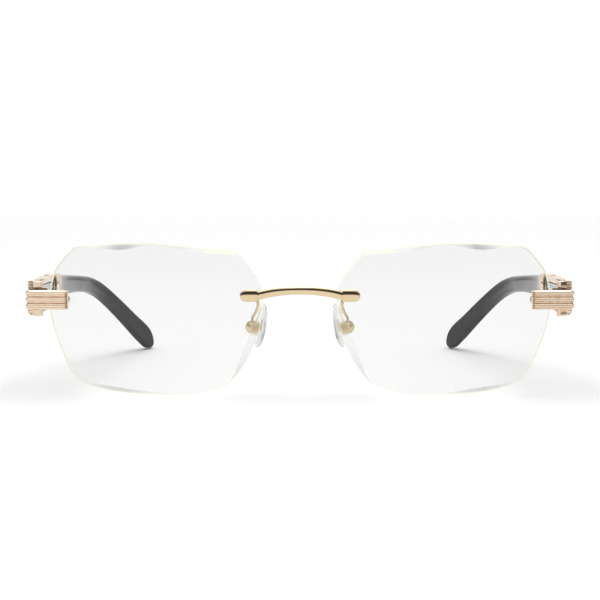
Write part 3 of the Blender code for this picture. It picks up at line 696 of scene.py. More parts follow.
def lens_body(thickness):
    """Rings from the middle of the front, over facet, chamfer and wall, to the middle of the back."""
    outline = curve_through(LENS_OUTLINE, 6, closed=True)
    centre = Vector(LENS_CENTRE)
    facet_ring, chamfer_ring, rim = [], [], []
    for point in outline:
        inwards = (centre - point).normalized()
        chamfer = CHAMFER + CHAMFER_OUTSIDE * max(0.0, -inwards.x)
        facet = max(bevel_width(*point), LEAST_BEVEL)
        start = point + inwards * (chamfer + facet)
        front = lens_front(*start)
        corner = point + inwards * chamfer
        facet_ring.append(start)
        chamfer_ring.append((corner.x, front + facet * BEVEL_SLOPE, corner.y))
        rim.append((point.x, front + facet * BEVEL_SLOPE + chamfer * CHAMFER_SLOPE, point.y))
    wall = [(p.x, lens_front(*p) + thickness - BACK_CHAMFER, p.y) for p in outline]
    back = [point + (centre - point).normalized() * BACK_CHAMFER for point in outline]
    front_rows = [[centre + (p - centre) * ratio for p in facet_ring] for ratio in (1.0, *LENS_RINGS)]
    back_rows = [[centre + (p - centre) * ratio for p in back] for ratio in (1.0, *LENS_RINGS)]
    rings = [[(p.x, lens_front(*p), p.y) for p in row] for row in front_rows[::-1]]
    rings += [chamfer_ring, rim, wall]
    rings += [[(p.x, lens_front(*p) + thickness, p.y) for p in row] for row in back_rows]
    body = skin(rings)
    for face in [face for face in body.faces if len(face.verts) > 4]:
        middle = bmesh.ops.poke(body, faces=[face])["verts"][0]
        at_back = middle.co.y > lens_front(*LENS_CENTRE) + thickness / 2
        middle.co.y = lens_front(middle.co.x, middle.co.z) + (thickness if at_back else 0.0)
    return body


def hole_places():
    """Where the lens is drilled: screw and peg of the bridge, then of the endpiece."""
    return ((BRIDGE_SCREW, LENS_BORE), (BRIDGE_PEG, PEG_RADIUS + GAP),
            (ENDPIECE_SCREW, LENS_BORE), (ENDPIECE_PEG, PEG_RADIUS + GAP))


def build_lens(name, side, scene):
    """Drilled lens whose faces are clear, satin or ground by how far they turn from the front."""
    thickness = scene.eyeglass_lens.thickness / MM
    lens = to_object(f"clear_lens_{name}", lens_body(thickness), side, 20.0)
    cutters = [moved(cylinder(radius, -2, thickness + 2, 32), lens_frame(x, z))
               for (x, z), radius in hole_places()]
    carve(lens, side, cutters, sharp=20.0)
    let_light_through(lens)
    dress(lens, ("glass", "bevel", "edge"), "lens", "front", f"lens_{name}")
    for face in lens.data.polygons:
        turned_away = abs(face.normal.y)
        face.material_index = int(turned_away < BEVEL_NORMAL) + int(turned_away < GROUND_NORMAL)


def bridge_section(x):
    """Middle y, middle z, half depth and half height of the bridge at x."""
    reach = abs(x)
    back = lens_front(min(max(reach, LUG_INNER), LUG_OUTER), LUG_Z) - GAP
    if reach >= LUG_INNER:
        end = max(0.0, (reach - (LUG_OUTER - LUG_HALF)) / LUG_HALF)
        half = LUG_HALF * math.sqrt(max(0.0, 1 - min(end, 0.995) ** 2))
        depth = 0.66 * (0.35 + 0.65 * math.sqrt(max(0.0, 1 - end ** 4)))
        return back - depth, LUG_Z, depth, max(half, 0.16)
    t = math.cos(math.pi * reach / LUG_INNER) * 0.5 + 0.5
    half = BRIDGE_END_HALF + (BRIDGE_HALF - BRIDGE_END_HALF) * t
    drop = (BRIDGE_Z - LUG_Z) * (reach / LUG_INNER) ** 2
    return back - 0.85 - BRIDGE_FORWARD * t, BRIDGE_Z - drop, 0.78 + 0.22 * t, half


def build_bridge():
    """Half-round bar from lug to lug, with a small step where it leaves each lug."""
    turns = (4, 12, 22, 34, 48, 62, 76, 90)
    ends = [LUG_OUTER - LUG_HALF * (1 - math.cos(math.radians(turn))) for turn in turns]
    lug = ends + [13.6, 12.9, 12.2, 11.6, LUG_INNER + 0.04]
    arch = [LUG_INNER - 0.06] + [LUG_INNER * step / 22 for step in range(21, 0, -1)]
    stations = lug + arch + [0.0]
    stations += [-x for x in stations[-2::-1]]
    rings = []
    for x in stations:
        y, z, depth, half = bridge_section(x)
        rings.append([(x, y + depth * squared(c, 2.4), z + half * squared(s, 2.2))
                      for c, s in circle(32, 0.5)])
    bridge = to_object("bridge_bar", skin(rings), 1, 50.0)
    for side in SIDES.values():
        peg = moved(cylinder(PEG_RADIUS, -0.5, 2.0, 24), lens_frame(*BRIDGE_PEG))
        carve(bridge, side, additions=[peg], sharp=50.0)
    dress(bridge, ("champagne",), "gold", "front", "bridge")


def reed_profile(low, high, reeds, depth, bars=3, groove=0.05, steps=6):
    """A reeded face from the bottom to the top: z, set-back, how far the nearest groove between two
    bars is, and how far into a groove between two reeds the point lies."""
    points = []
    pitch = (high - low) / reeds
    per_bar = reeds / bars
    for step in range(reeds * steps + 1):
        z = low + pitch * step / steps
        fine = depth * reed((step % steps) / steps)
        from_bar = (step / steps) % per_bar
        near = min(from_bar, per_bar - from_bar)
        coarse = groove * max(0.0, 1 - near / 0.55)
        points.append((z, fine + coarse, near * pitch, (fine / depth) ** 4))
    return points


def block_back(x):
    """Rear face of the endpiece: in front of the lens, then behind its edge."""
    return lens_front(x, ENDPIECE_SCREW[1]) - 2 * GAP if x < BLOCK_EDGE else BLOCK_BACK


def build_endpiece(name, side, scene):
    """Reeded block: fine reeds in three bars, notched ends and a plain strip at the inner end."""
    metal = scene.eyeglass_metal
    low, high = drawn("endpiece_left")
    inner, outer, bottom, top = low.x, high.x, low.z, high.z
    profile = reed_profile(bottom, top, metal.reeds, metal.reed_depth / MM)
    strip = inner + STRIP_WIDTH
    stations = [inner, inner + 0.05] + [strip + step for step in (-0.04, 0.0, 0.12, 0.3, 0.48)]
    stations += [strip + 0.75 + step * (outer - 2.1 - strip) / 12 for step in range(13)]
    stations += [BLOCK_EDGE - 0.01, BLOCK_EDGE]
    stations += [outer - step for step in (1.0, 0.8, 0.6, 0.4, 0.2, 0.06, 0.0)]
    rings = []
    for x in sorted(stations):
        share = (x - inner) / (outer - inner)
        front = 2.3 + 0.9 * share
        from_end = outer - x
        ring = [(x, block_back(x), bottom + 0.06)]
        for z, set_back, near, groove in profile:
            if x < strip - 0.01:
                set_back = 0.05 + (0.1 if x < inner + 0.05 else 0.0)
            elif x < strip + 0.35:
                set_back += 0.5 * groove
            shift = 0.0
            if from_end < END_ROUND:
                past = END_ROUND - from_end
                rounding = 0.3 * (1 - math.sqrt(max(0.0, 1 - (past / 0.85) ** 2)))
                notch = max(0.0, 1 - near / 0.45)
                set_back += rounding * 1.4 + notch * past
                shift = notch * past * 0.7
            edge_fall = 0.25 * max(0.0, 1 - min(z - bottom, top - z) / 0.22) ** 2
            ring.append((x - shift, front + set_back + edge_fall, z))
        ring.append((x, block_back(x), top - 0.06))
        rings.append(ring)
    block = to_object(f"reeded_endpiece_{name}", skin(rings), side, 48.0)
    peg = moved(cylinder(PEG_RADIUS, -0.8, 2.0, 24), lens_frame(*ENDPIECE_PEG))
    bore = moved(cylinder(SCREW_SHANK + GAP, -1.2, 1.5, 24), lens_frame(*ENDPIECE_SCREW))
    carve(block, side, [bore], [peg], sharp=48.0)
    dress(block, ("rose",), "rose_gold", "front", f"endpiece_{name}")


def build_front_hinge(name, side):
    """Leaf behind the endpiece, with the middle knuckle."""
    low, high = drawn("front_hinge_left")
    back, leaf_front = HINGE_Y - 0.1, BLOCK_BACK + GAP
    outline = arc((HINGE_X, HINGE_Y), KNUCKLE, -60, 160, 32)
    outline += [(low.x, back), (low.x, leaf_front), (HINGE_X + 0.5, leaf_front)]
    hinge = to_object(f"hinge_leaf_{name}", prism(outline, low.z, high.z), side)
    soften(hinge, 0.08)
    bore = stood_up(cylinder(PIVOT_BORE, low.z - 1, high.z + 1, 32), HINGE_X, HINGE_Y)
    carve(hinge, side, [bore], sharp=40.0)
    dress(hinge, ("rose",), "rose_gold", "front", f"front_hinge_{name}")


def build_hinge_screw(name, side):
    """Slotted screw down through the three knuckles."""
    low, high = drawn("hinge_screw_left")
    head = high.z - 0.6
    profile = ((0, low.z), (PIVOT_PIN - 0.1, low.z), (PIVOT_PIN, low.z + 0.12), (PIVOT_PIN, head),
               (0.7, head), (0.75, head + 0.05), (0.75, high.z - 0.1), (0.66, high.z), (0, high.z))
    screw = to_object(f"slotted_hinge_screw_{name}", stood_up(turned(profile), HINGE_X, HINGE_Y), side)
    slot = box((HINGE_X - 1, HINGE_X + 1), (HINGE_Y - 0.12, HINGE_Y + 0.12), (high.z - 0.25, high.z + 1))
    carve(screw, side, [slot])
    dress(screw, ("steel",), "steel", "front", f"hinge_screw_{name}")


def build_lens_screw(label, spot, clamp, name, side):
    """Cheese-head screw seen from behind the lens, with a rounded rim and a slot."""
    seat = BEHIND_LENS + clamp
    top = seat + 0.7
    profile = ((0, -0.8), (SCREW_SHANK, -0.8), (SCREW_SHANK, seat), (SCREW_HEAD - 0.05, seat),
               (SCREW_HEAD, seat + 0.06), (SCREW_HEAD, top - 0.28), (SCREW_HEAD - 0.05, top - 0.12),
               (SCREW_HEAD - 0.2, top - 0.02), (0, top))
    frame_here = lens_frame(*spot)
    screw = to_object(f"slotted_{label}_screw_{name}", moved(turned(profile), frame_here), side)
    slot = box((-2, 2), (top - 0.27, top + 1), (-0.16, 0.16))
    carve(screw, side, [moved(slot, frame_here)])
    dress(screw, ("steel",), "steel", "front", f"{label}_screw_{name}")


def tube(path, radius_at, count=20):
    """Rings square to a path."""
    rings = []
    for index, point in enumerate(path):
        along = (path[min(index + 1, len(path) - 1)] - path[max(index - 1, 0)]).normalized()
        sideways = along.cross(Vector((0, 1, 0.3))).normalized()
        third = along.cross(sideways)
        radius = radius_at(index / (len(path) - 1))
        rings.append([point + radius * (sideways * c + third * s) for c, s in circle(count)])
    return rings


def build_pad_arm(name, side):
    """Plate behind the lens, and the wire that swells where it is soldered to it."""
    frame_here = lens_frame(*BRIDGE_SCREW)
    start, end, half = -1.6, 1.15, 1.45
    outline = [(start, -half), (end, -half), *arc((end, 0), half, -80, 80, 20), (end, half), (start, half)]
    plate = prism(outline, BEHIND_LENS, BEHIND_LENS + PAD_PLATE, "Y")
    arm = to_object(f"pad_wire_{name}", moved(plate, frame_here), side)
    soften(arm, 0.12, 3)
    route = ((12.0, 3.4, 25.9), (11.3, 3.55, 24.6), (11.3, 3.8, 23.4), (11.7, 4.2, 22.2),
             (12.2, 4.8, 21.3), (12.7, 5.5, 20.65), (12.9, 6.0, 20.0))
    path = curve_through(route, 8)
    wire = skin(tube(path, lambda share: 0.46 - 0.13 * share + 0.1 * max(0.0, 0.2 - share) / 0.2))
    bore = moved(cylinder(SCREW_SHANK + GAP, BEHIND_LENS - 1, BEHIND_LENS + 2, 24), frame_here)
    carve(arm, side, [bore], [wire], sharp=45.0)
    dress(arm, ("champagne",), "gold", "front", f"pad_arm_{name}")


def pad_axis():
    """The place of the pad screw, whose length is along Y."""
    return Matrix.Translation((PAD_AXIS_X, 0, PAD_AXIS_Z))


def build_pad_box(name, side):
    """Drum-shaped clevis with rounded rims."""
    low, high = drawn("pad_box_left")
    wall = arc((PAD_AXIS_X, PAD_AXIS_Z), PAD_DRUM, -142, 142, 44)
    drum = to_object(f"pad_drum_{name}", prism(wall, low.y, high.y, "Y"), side)
    soften(drum, 0.16, 3)
    slot = box((PAD_AXIS_X - 4, PAD_AXIS_X + 1.25), (low.y + PAD_CHEEK, high.y - PAD_CHEEK),
               (PAD_AXIS_Z - 3, PAD_AXIS_Z + 3))
    bore = moved(cylinder(PIVOT_BORE, low.y - 1, high.y + 1, 32), pad_axis())
    carve(drum, side, [slot, bore], sharp=40.0)
    dress(drum, ("champagne",), "gold", "front", f"pad_box_{name}")


def build_pad_screw(name, side):
    """Domed screw with a cross, through the box and the eye of the insert."""
    low, high = drawn("pad_screw_left")
    head = ((0, 0), (0.75, 0.02), (0.95, 0.1), (1.08, 0.24), (1.1, 0.35), (1.1, 0.6), (PIVOT_PIN, 0.6))
    profile = [(radius, low.y + y) for radius, y in head] + [(PIVOT_PIN, high.y), (0, high.y)]
    screw = to_object(f"cross_pad_screw_{name}", moved(turned(profile), pad_axis()), side)
    cutters = []
    for wide, tall in ((0.78, 0.16), (0.16, 0.78)):
        cutters.append(box((PAD_AXIS_X - wide, PAD_AXIS_X + wide), (low.y - 1, low.y + 0.32),
                           (PAD_AXIS_Z - tall, PAD_AXIS_Z + tall)))
    carve(screw, side, cutters, sharp=40.0)
    dress(screw, ("champagne",), "gold", "front", f"pad_screw_{name}")


def pad_frame():
    """X points at the lens side through the pad, Y along its width, Z along its height."""
    return (Matrix.Translation(PAD_CENTRE) @ Matrix.Rotation(math.radians(-PAD_TILT), 4, "Y")
            @ Matrix.Rotation(math.radians(-PAD_SPLAY), 4, "Z"))


def build_nose_pad(name, side):
    """Drop-shaped pad: crowned on the nose side, flatter on the lens side, with a thin rim."""
    half_thick, half_wide, half_high = PAD_HALF
    rings = []
    rows = 24
    for row in range(1, rows):
        angle = math.pi * row / rows
        across, through = math.sin(angle), -math.cos(angle)
        depth = half_thick * through * (1.0 if through < 0 else 0.72)
        spread = across ** 0.75
        rings.append([(depth, half_wide * spread * squared(c, 2.2) * (1 - 0.18 * s * spread),
                       half_high * spread * squared(s, 2.2)) for c, s in circle(56)])
    pad = to_object(f"silicone_pad_{name}", moved(skin(rings), pad_frame()), side, 60.0)
    wide, tall = (half + GAP for half in PAD_TAB)
    pocket = box((-0.1, 3.0), (-wide, wide), (-tall, tall))
    carve(pad, side, [moved(pocket, pad_frame())], sharp=40.0)
    let_light_through(pad)
    dress(pad, ("silicone",), "silicone", f"nose_pad_{name}", f"nose_pad_{name}")


def build_pad_insert(name, side):
    """Tab in the pad, and the neck and eye that hang on the pad screw."""
    box_low, box_high = drawn("pad_box_left")
    front, back = box_low.y + PAD_CHEEK + GAP, box_high.y - PAD_CHEEK - GAP
    wide, tall = PAD_TAB
    plate = box((-0.05, 0.55), (-wide, wide), (-tall, tall))
    tab = to_object(f"pad_tab_{name}", moved(plate, pad_frame()), side)
    soften(tab, 0.1)
    outline = ((PAD_AXIS_X, front), (PAD_AXIS_X, back), (11.4, back), (11.4, 8.5), (11.6, 8.9),
               (11.6, 9.6), (11.25, 10.0), (10.85, 10.0), (11.1, 9.3), (11.1, 8.75), (10.75, 8.0),
               (10.8, front))
    neck = prism(outline, PAD_AXIS_Z - 0.6, PAD_AXIS_Z + 0.6)
    eye = moved(cylinder(1.05, front, back, 40), pad_axis())
    bore = moved(cylinder(PIVOT_BORE, front - 1, back + 1, 32), pad_axis())
    carve(tab, side, [bore], [neck, eye], sharp=40.0)
    dress(tab, ("champagne",), "gold", f"nose_pad_{name}", f"pad_insert_{name}")


def cap_outline(z, low, high, inner, outer, front, back):
    """Section of the cap at a height: its ribbed front and outer faces and its rounded foot."""
    rib = CAP_RIB_DEPTH * reed(((z - low) / (high - low) * CAP_RIBS) % 1.0)
    foot = max(0.0, 1 - (z - low) / 1.3)
    head = max(0.0, 1 - (high - z) / 0.25)
    draw_in = rib + 0.75 * foot ** 2 + 0.16 * head ** 2
    round_by, steps = 0.45, 10
    outline = [(inner, back), (inner, front + 0.3), (inner + 0.12, front + 0.05),
               (inner + 0.3, front + 0.05)]
    for step in range(steps + 1):
        x = inner + round_by + (outer - 0.5 - inner - round_by) * step / steps
        outline.append((x, front + rib * 0.8 + 0.3 * foot ** 2))
    corner = (outer - round_by - draw_in, front + round_by + rib * 0.5)
    outline += arc(corner, round_by, -60, 0, 2)
    return outline + [(outer - draw_in, back - 0.2), (outer - draw_in - 0.15, back)]


def build_temple_cap(name, side):
    """Ribbed cap, the two outer knuckles of the hinge and the tongue in the temple."""
    low, high = drawn("temple_cap_left")
    inner, outer = HINGE_X + KNUCKLE + GAP, high.x
    front, back = BLOCK_BACK + 2 * GAP, CAP_BACK - GAP
    bottom = low.z + 0.2
    rows = 96
    rings = []
    for row in range(rows + 1):
        z = bottom + (high.z - bottom) * row / rows
        rings.append([(x, y, z) for x, y in cap_outline(z, bottom, high.z, inner, outer, front, back)])
    cap = to_object(f"ribbed_cap_{name}", skin(rings), side, 45.0)
    middle = drawn("front_hinge_left")
    additions = []
    for start, end in ((low.z, middle[0].z - GAP), (middle[1].z + GAP, high.z)):
        outline = arc((HINGE_X, HINGE_Y), KNUCKLE, 90, 270, 28)
        outline += [(inner + 0.4, HINGE_Y - KNUCKLE), (inner + 0.4, HINGE_Y + KNUCKLE)]
        rim = 0.12
        small = [(x + (HINGE_X + 0.5 - x) * rim, y + (HINGE_Y - y) * rim) for x, y in outline]
        levels = ((start, small), (start + rim, outline), (end - rim, outline), (end, small))
        additions.append(skin([[(x, y, z) for x, y in ring] for z, ring in levels]))
    additions.append(box(TONGUE_X, (back - 0.5, TONGUE_END), TONGUE_Z))
    cutters = [stood_up(cylinder(PIVOT_BORE, low.z - 1, high.z + 1, 32), HINGE_X, HINGE_Y),
               stood_up(cylinder(0.8, high.z - 0.75, high.z + 1, 32), HINGE_X, HINGE_Y),
               moved(cylinder(RIVET_SHANK + GAP, 70, 74, 24), rivet_frame())]
    carve(cap, side, cutters, additions, sharp=45.0)
    dress(cap, ("rose",), "rose_gold", f"temple_{name}", f"temple_cap_{name}")


def rivet_frame():
    """Turns what lies along Y to lie across the temple at the rivet."""
    return Matrix.Translation((0, RIVET_Y, RIVET_Z)) @ Matrix.Rotation(math.radians(-90), 4, "Z")


def build_rivet(name, side):
    """Rivet through the temple and the tongue, with a dome on the inner side."""
    low, high = drawn("temple_rivet_left")
    profile = ((0, low.x), (0.45, low.x + 0.02), (0.72, low.x + 0.1), (0.9, low.x + 0.24),
               (RIVET_SHANK, low.x + 0.25), (RIVET_SHANK, high.x - 0.05), (0.3, high.x), (0, high.x))
    rivet = to_object(f"domed_rivet_{name}", moved(turned(profile, 40), rivet_frame()), side)
    dress(rivet, ("steel",), "steel", f"temple_{name}", f"temple_rivet_{name}")


def trim_outline(low, top, inner, outer, wall, chamfer):
    """Section across the trim: lip, reeded top, reeded chamfer and reeded side, and the inner faces."""
    steps = 8
    corners = ((inner + 0.3, top), (outer - chamfer, top), (outer, top - chamfer * 0.6), (outer, low))
    outline = [(inner, TRIM_LIP), (inner, top - 0.3), (inner + 0.09, top - 0.12), (inner + 0.2, top - 0.04)]
    for start, end, reeds in zip(corners, corners[1:], TRIM_REEDS):
        along = Vector((end[0] - start[0], end[1] - start[1]))
        outwards = Vector((-along.y, along.x)).normalized()
        for step in range(1, reeds * steps):
            deep = TRIM_REED_DEPTH * reed((step % steps) / steps)
            point = Vector(start) + along * step / (reeds * steps) - outwards * deep
            outline.append(tuple(point))
    return outline + [(outer - 0.13, low), (wall, low), (wall, TRIM_LIP)]


def build_trim(name, side):
    """Angle over the top and the outer side of the temple's front, reeded along its length."""
    low, high = drawn("temple_trim_left")
    length = high.y - low.y
    stations = ((0.0, 0.08), (0.1, 0.0), (length / 2, 0.0), (length - 0.25, 0.0), (length - 0.08, 0.05),
                (length, 0.14))
    rings = []
    for y, draw_in in stations:
        outer, wall, chamfer = blend(TRIM_FRONT, TRIM_REAR, y / length)
        outline = trim_outline(low.z, high.z - draw_in, low.x, outer - draw_in, wall, chamfer)
        rings.append([(x, low.y + y, z) for x, z in outline])
    trim = to_object(f"reeded_trim_{name}", skin(rings), side, 48.0)
    hole = moved(cylinder(RIVET_SHANK + 2 * GAP, 73, 75, 24), rivet_frame())
    carve(trim, side, [hole], sharp=48.0)
    dress(trim, ("rose",), "rose_gold", f"temple_{name}", f"temple_trim_{name}")


def section(y, z, height, inner, thickness, slope, power, count):
    """One ring across the temple, square to its middle line and leaning out where it drops."""
    share = min(max((y - LEAN_START) / (LEAN_END - LEAN_START), 0.0), 1.0)
    lean = LEAN * share * share * (3 - 2 * share)
    ring = []
    for c, s in circle(count, 0.5):
        out, up = thickness / 2 * squared(c, power), height / 2 * squared(s, power)
        ring.append((inner + thickness / 2 + out + lean * up,
                     y - up * math.sin(slope), z + up * math.cos(slope)))
    return ring


def temple_tip():
    """The stations of the round tip, each smaller than the one before."""
    last_y, last_z, last_height, last_inner, last_thickness = TEMPLE_STATIONS[-1]
    tip = []
    for step in range(1, TIP_STEPS + 1):
        share = math.sin(math.pi / 2 * step / TIP_STEPS) * 0.985
        shrink = math.sqrt(1 - share ** 2)
        y, z, inner = blend((last_y, last_z, last_inner), (TIP_Y, TIP_Z, TIP_X), share)
        thickness = last_thickness * (0.3 + 0.7 * math.sqrt(shrink))
        inner += (last_thickness - thickness) / 2
        tip.append((y + 0.8 * share, z, last_height * shrink, inner, thickness))
    return tip


def build_temple_arm(name, side, scene):
    """Black temple: a plain root under the trim, then the drop and the round tip."""
    power = scene.eyeglass_temple.squareness
    count = 48
    rings = [section(y, *blend(ROOT_FRONT, ROOT_REAR, share), 0.0, ROOT_SQUARENESS, count)
             for y, share in ROOT_STATIONS]
    shoulder = [size - less for size, less in zip(TEMPLE_STATIONS[0][1:], SHOULDER_INSET)]
    rings.append(section(SHOULDER_Y, *shoulder, 0.0, power, count))
    stations = [tuple(s) for s in curve_through(TEMPLE_STATIONS, 5)] + temple_tip()
    for index, (y, z, height, inner, thickness) in enumerate(stations):
        before, after = stations[max(index - 1, 0)], stations[min(index + 1, len(stations) - 1)]
        slope = math.atan2(after[1] - before[1], after[0] - before[0]) if index > 1 else 0.0
        rings.append(section(y, z, height, inner, thickness, slope, power, count))
    arm = to_object(f"black_temple_{name}", skin(rings), side, 40.0)
    room = 2 * GAP
    mouth = box((TONGUE_X[0] - room, TONGUE_X[1] + room), (8.5, TONGUE_END + 0.4),
                (TONGUE_Z[0] - room, TONGUE_Z[1] + room))
    hole = moved(cylinder(RIVET_SHANK + room, 69, 75, 24), rivet_frame())
    carve(arm, side, [mouth, hole], sharp=40.0)
    dress(arm, ("black",), "black", f"temple_{name}", f"temple_arm_{name}", f"temple_core_{name}")


def collar_ring(y, taller, faces, count):
    """Middle height of the temple at y, and a ring there that is taller than the temple."""
    share = (y - COLLAR_FRONT[0]) / (COLLAR_REAR[0] - COLLAR_FRONT[0])
    z, height = blend(COLLAR_FRONT[1:], COLLAR_REAR[1:], share)
    return z, section(y, z, height + taller, *faces, 0.0, COLLAR_SQUARENESS, count)


def build_collar(name, side):
    """Collar reeded along the temple, its reeds rounded over at both ends."""
    low, high = drawn("temple_collar_left")
    per_reed = 8
    count = per_reed * COLLAR_REEDS
    falls = ((0.0, 0.35), (0.06, 0.16), (0.16, 0.05), (0.32, 0.0))
    stations = [(low.y + step, fall) for step, fall in falls]
    stations += [(high.y - step, fall) for step, fall in reversed(falls)]
    rings = []
    for y, fall in stations:
        z, ring = collar_ring(y, 1.2, COLLAR_OUTSIDE, count)
        shaped = []
        for index, (x, ring_y, ring_z) in enumerate(ring):
            deep = COLLAR_REED_DEPTH * reed((index % per_reed) / per_reed) + fall
            away = Vector((x - COLLAR_MIDDLE, ring_z - z))
            keep = 1 - deep / away.length
            shaped.append((COLLAR_MIDDLE + away.x * keep, ring_y, z + away.y * keep))
        rings.append(shaped)
    rings += [collar_ring(y, 0.3, COLLAR_BORE, count)[1] for y in (high.y, low.y)]
    collar = to_object(f"reeded_collar_{name}", skin(rings, closed=True), side, 48.0)
    dress(collar, ("rose",), "rose_gold", f"temple_{name}", f"temple_collar_{name}")


def dress_frame_nodes():
    """Finish of the frame's own nodes that stay: the clear bushings round the lens screws."""
    for label in ("bridge", "endpiece"):
        for name in SIDES:
            node = frame["nodes"][f"{label}_bushing_{name}"]
            node.data.materials.clear()
            node.data.materials.append(LOOKS["bushing"])


def build_floor():
    """A wide flat sheet of paper, just under the glasses."""
    reach, cells = 4.0, 40
    body = bmesh.new()
    bmesh.ops.create_grid(body, x_segments=cells, y_segments=cells, size=reach)
    for vertex in body.verts:
        vertex.co.z = FLOOR_Z
    mesh = bpy.data.meshes.new("paper_sheet")
    body.to_mesh(mesh)
    body.free()
    mesh.materials.append(LOOKS["paper"])
    paper = bpy.data.objects.new("paper_sheet", mesh)
    bpy.context.scene.collection.objects.link(paper)


def build_camera(stage):
    """Camera in front of the lenses, a little above them."""
    data = bpy.data.cameras.new("front view")
    data.lens = stage.focal
    data.sensor_width = 36.0
    data.clip_start = 0.01
    data.clip_end = 50.0
    camera = bpy.data.objects.new("front view", data)
    camera.location = (0, FRONT_Y - stage.distance, stage.height)
    aim = Vector((0, FRONT_Y, stage.aim)) - camera.location
    camera.rotation_euler = aim.to_track_quat("-Z", "Y").to_euler()
    bpy.context.scene.collection.objects.link(camera)
    bpy.context.scene.camera = camera


def build_surroundings(stage):
    """A lit panel above and a white screen behind the glasses, and darker walls for the metal to mirror.

    Seen directly, the surroundings are plain white from every side.
    """
    world = bpy.data.worlds.new("white studio")
    bpy.context.scene.world = world
    world.use_nodes = True
    graph = Graph(world.node_tree)
    direction = graph.node("ShaderNodeTexCoord", output="Generated")
    back, up = graph.along(direction, "Y"), graph.along(direction, "Z")
    front = graph.soft_step(back, -0.1, -0.5)
    ceiling = graph.soft_step(up, 0.46, 0.64)
    ceiling = ceiling + (graph.soft_step(up, 0.56, 0.88) - ceiling) * front
    screen = graph.soft_step(back, 0.86, 0.95)
    low = graph.soft_step(up, 0.14, 0.0)
    front_wall = stage.front_wall + (1.0 - stage.front_wall) * low
    walls = stage.walls + (front_wall - stage.walls) * front
    level = walls + (1.0 - walls) * screen
    level = level + (stage.ceiling - level) * ceiling
    panel = graph.soft_step(up * 0.93 + back * 0.37, 0.85, 0.93)
    level = level + (stage.panel - level) * panel
    through = graph.node("ShaderNodeLightPath", output="Is Transmission Ray")
    level = level + (stage.through + (1.0 - stage.through) * screen - level) * through
    seen = graph.node("ShaderNodeLightPath", output="Is Camera Ray")
    level = level + (1.0 - level) * seen
    background = world.node_tree.nodes["Background"]
    background.inputs["Color"].default_value = (1.0, 1.0, 1.0, 1.0)
    graph.feed(background.inputs["Strength"], level * stage.brightness)


def build_lamps():
    """Two soft round lamps above, turned to the glasses."""
    for name, place, size, power in LAMPS:
        data = bpy.data.lights.new(name, "AREA")
        data.shape = "DISK"
        data.size = size
        data.energy = power
        lamp = bpy.data.objects.new(name, data)
        lamp.location = place
        lamp.rotation_euler = (-Vector(place)).to_track_quat("-Z", "Y").to_euler()
        bpy.context.scene.collection.objects.link(lamp)


def for_both_sides(build, *extra):
    """Build a piece on the wearer's left and on the right."""
    for name, side in SIDES.items():
        build(name, side, *extra)


class BuildOperator:
    """What the operators share."""
    bl_options = {"REGISTER", "UNDO"}

    def execute(self, context):
        self.build(context.scene)
        return {"FINISHED"}


class EYEGLASSES_OT_stage(BuildOperator, bpy.types.Operator):
    """Make the materials, the paper, the light and the camera"""
    bl_idname = "eyeglasses.stage"
    bl_label = "Stage and materials"

    def build(self, scene):
        LOOKS.update(make_looks(scene))
        scene.view_settings.view_transform = "Standard"
        build_floor()
        build_camera(scene.eyeglass_stage)
        build_surroundings(scene.eyeglass_stage)
        build_lamps()


class EYEGLASSES_OT_lenses(BuildOperator, bpy.types.Operator):
    """Make the two drilled lenses with their bevels"""
    bl_idname = "eyeglasses.lenses"
    bl_label = "Lenses"

    def build(self, scene):
        for_both_sides(build_lens, scene)


class EYEGLASSES_OT_bridge(BuildOperator, bpy.types.Operator):
    """Make the bridge bar"""
    bl_idname = "eyeglasses.bridge"
    bl_label = "Bridge"

    def build(self, scene):
        build_bridge()


class EYEGLASSES_OT_endpieces(BuildOperator, bpy.types.Operator):
    """Make the reeded endpieces"""
    bl_idname = "eyeglasses.endpieces"
    bl_label = "Endpieces"

    def build(self, scene):
        for_both_sides(build_endpiece, scene)


class EYEGLASSES_OT_hinges(BuildOperator, bpy.types.Operator):
    """Make the fixed hinge leaves and the hinge screws"""
    bl_idname = "eyeglasses.hinges"
    bl_label = "Hinges"

    def build(self, scene):
        for_both_sides(build_front_hinge)
        for_both_sides(build_hinge_screw)


class EYEGLASSES_OT_lens_screws(BuildOperator, bpy.types.Operator):
    """Make the lens screws and finish the bushings round them"""
    bl_idname = "eyeglasses.lens_screws"
    bl_label = "Lens screws"

    def build(self, scene):
        for name, side in SIDES.items():
            build_lens_screw("bridge", BRIDGE_SCREW, PAD_PLATE + GAP, name, side)
            build_lens_screw("endpiece", ENDPIECE_SCREW, 0.0, name, side)
        dress_frame_nodes()


class EYEGLASSES_OT_pad_arms(BuildOperator, bpy.types.Operator):
    """Make the pad arms, their boxes and the pad screws"""
    bl_idname = "eyeglasses.pad_arms"
    bl_label = "Pad arms"

    def build(self, scene):
        for build in (build_pad_arm, build_pad_box, build_pad_screw):
            for_both_sides(build)


class EYEGLASSES_OT_nose_pads(BuildOperator, bpy.types.Operator):
    """Make the silicone nose pads and their inserts"""
    bl_idname = "eyeglasses.nose_pads"
    bl_label = "Nose pads"

    def build(self, scene):
        for_both_sides(build_nose_pad)
        for_both_sides(build_pad_insert)


class EYEGLASSES_OT_temple_metal(BuildOperator, bpy.types.Operator):
    """Make the caps, trims, collars and rivets of the temples"""
    bl_idname = "eyeglasses.temple_metal"
    bl_label = "Temple metal"

    def build(self, scene):
        for build in (build_temple_cap, build_trim, build_collar, build_rivet):
            for_both_sides(build)


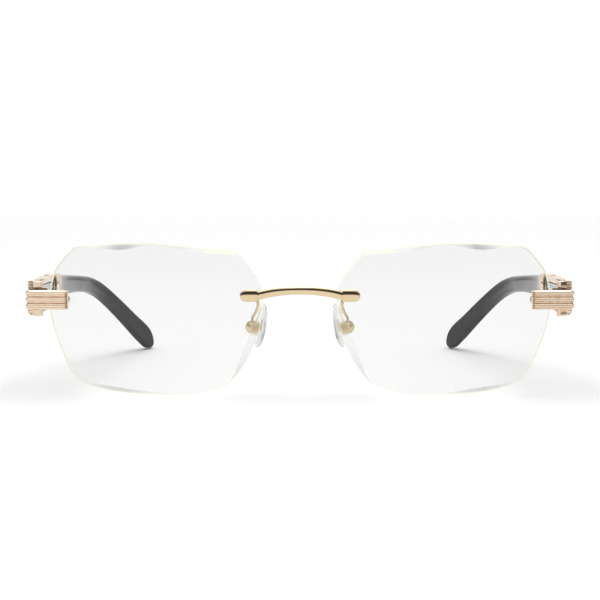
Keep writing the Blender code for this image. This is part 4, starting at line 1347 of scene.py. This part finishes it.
class EYEGLASSES_OT_temple_arms(BuildOperator, bpy.types.Operator):
    """Make the black temple arms"""
    bl_idname = "eyeglasses.temple_arms"
    bl_label = "Temple arms"

    def build(self, scene):
        for_both_sides(build_temple_arm, scene)


OPERATORS = (EYEGLASSES_OT_stage, EYEGLASSES_OT_lenses, EYEGLASSES_OT_bridge, EYEGLASSES_OT_endpieces,
             EYEGLASSES_OT_hinges, EYEGLASSES_OT_lens_screws, EYEGLASSES_OT_pad_arms,
             EYEGLASSES_OT_nose_pads, EYEGLASSES_OT_temple_metal, EYEGLASSES_OT_temple_arms)


class EYEGLASSES_PT_panel(bpy.types.Panel):
    """The sidebar panel that lists the builders"""
    bl_idname = "EYEGLASSES_PT_panel"
    bl_label = "Rimless Eyeglasses"
    bl_space_type = "VIEW_3D"
    bl_region_type = "UI"
    bl_category = "Eyeglasses"

    def draw(self, context):
        for group in (context.scene.eyeglass_lens, context.scene.eyeglass_metal,
                      context.scene.eyeglass_temple, context.scene.eyeglass_stage):
            for name in group.__annotations__:
                self.layout.prop(group, name)
        for operator in OPERATORS:
            self.layout.operator(operator.bl_idname)


GROUPS = {"eyeglass_lens": LensSettings, "eyeglass_metal": MetalSettings,
          "eyeglass_temple": TempleSettings, "eyeglass_stage": StageSettings}


def register():
    """Add the settings, the operators and the panel to Blender."""
    for name, group in GROUPS.items():
        bpy.utils.register_class(group)
        setattr(bpy.types.Scene, name, bpy.props.PointerProperty(type=group))
    for operator in OPERATORS:
        bpy.utils.register_class(operator)
    bpy.utils.register_class(EYEGLASSES_PT_panel)


def unregister():
    """Take them away again."""
    bpy.utils.unregister_class(EYEGLASSES_PT_panel)
    for operator in reversed(OPERATORS):
        bpy.utils.unregister_class(operator)
    for name, group in reversed(GROUPS.items()):
        delattr(bpy.types.Scene, name)
        bpy.utils.unregister_class(group)


def main():
    """Register the settings, operators and panel, then run every builder."""
    register()
    for operator in OPERATORS:
        group, name = operator.bl_idname.split(".")
        getattr(getattr(bpy.ops, group), name)()


if __name__ == "__main__":
    main()
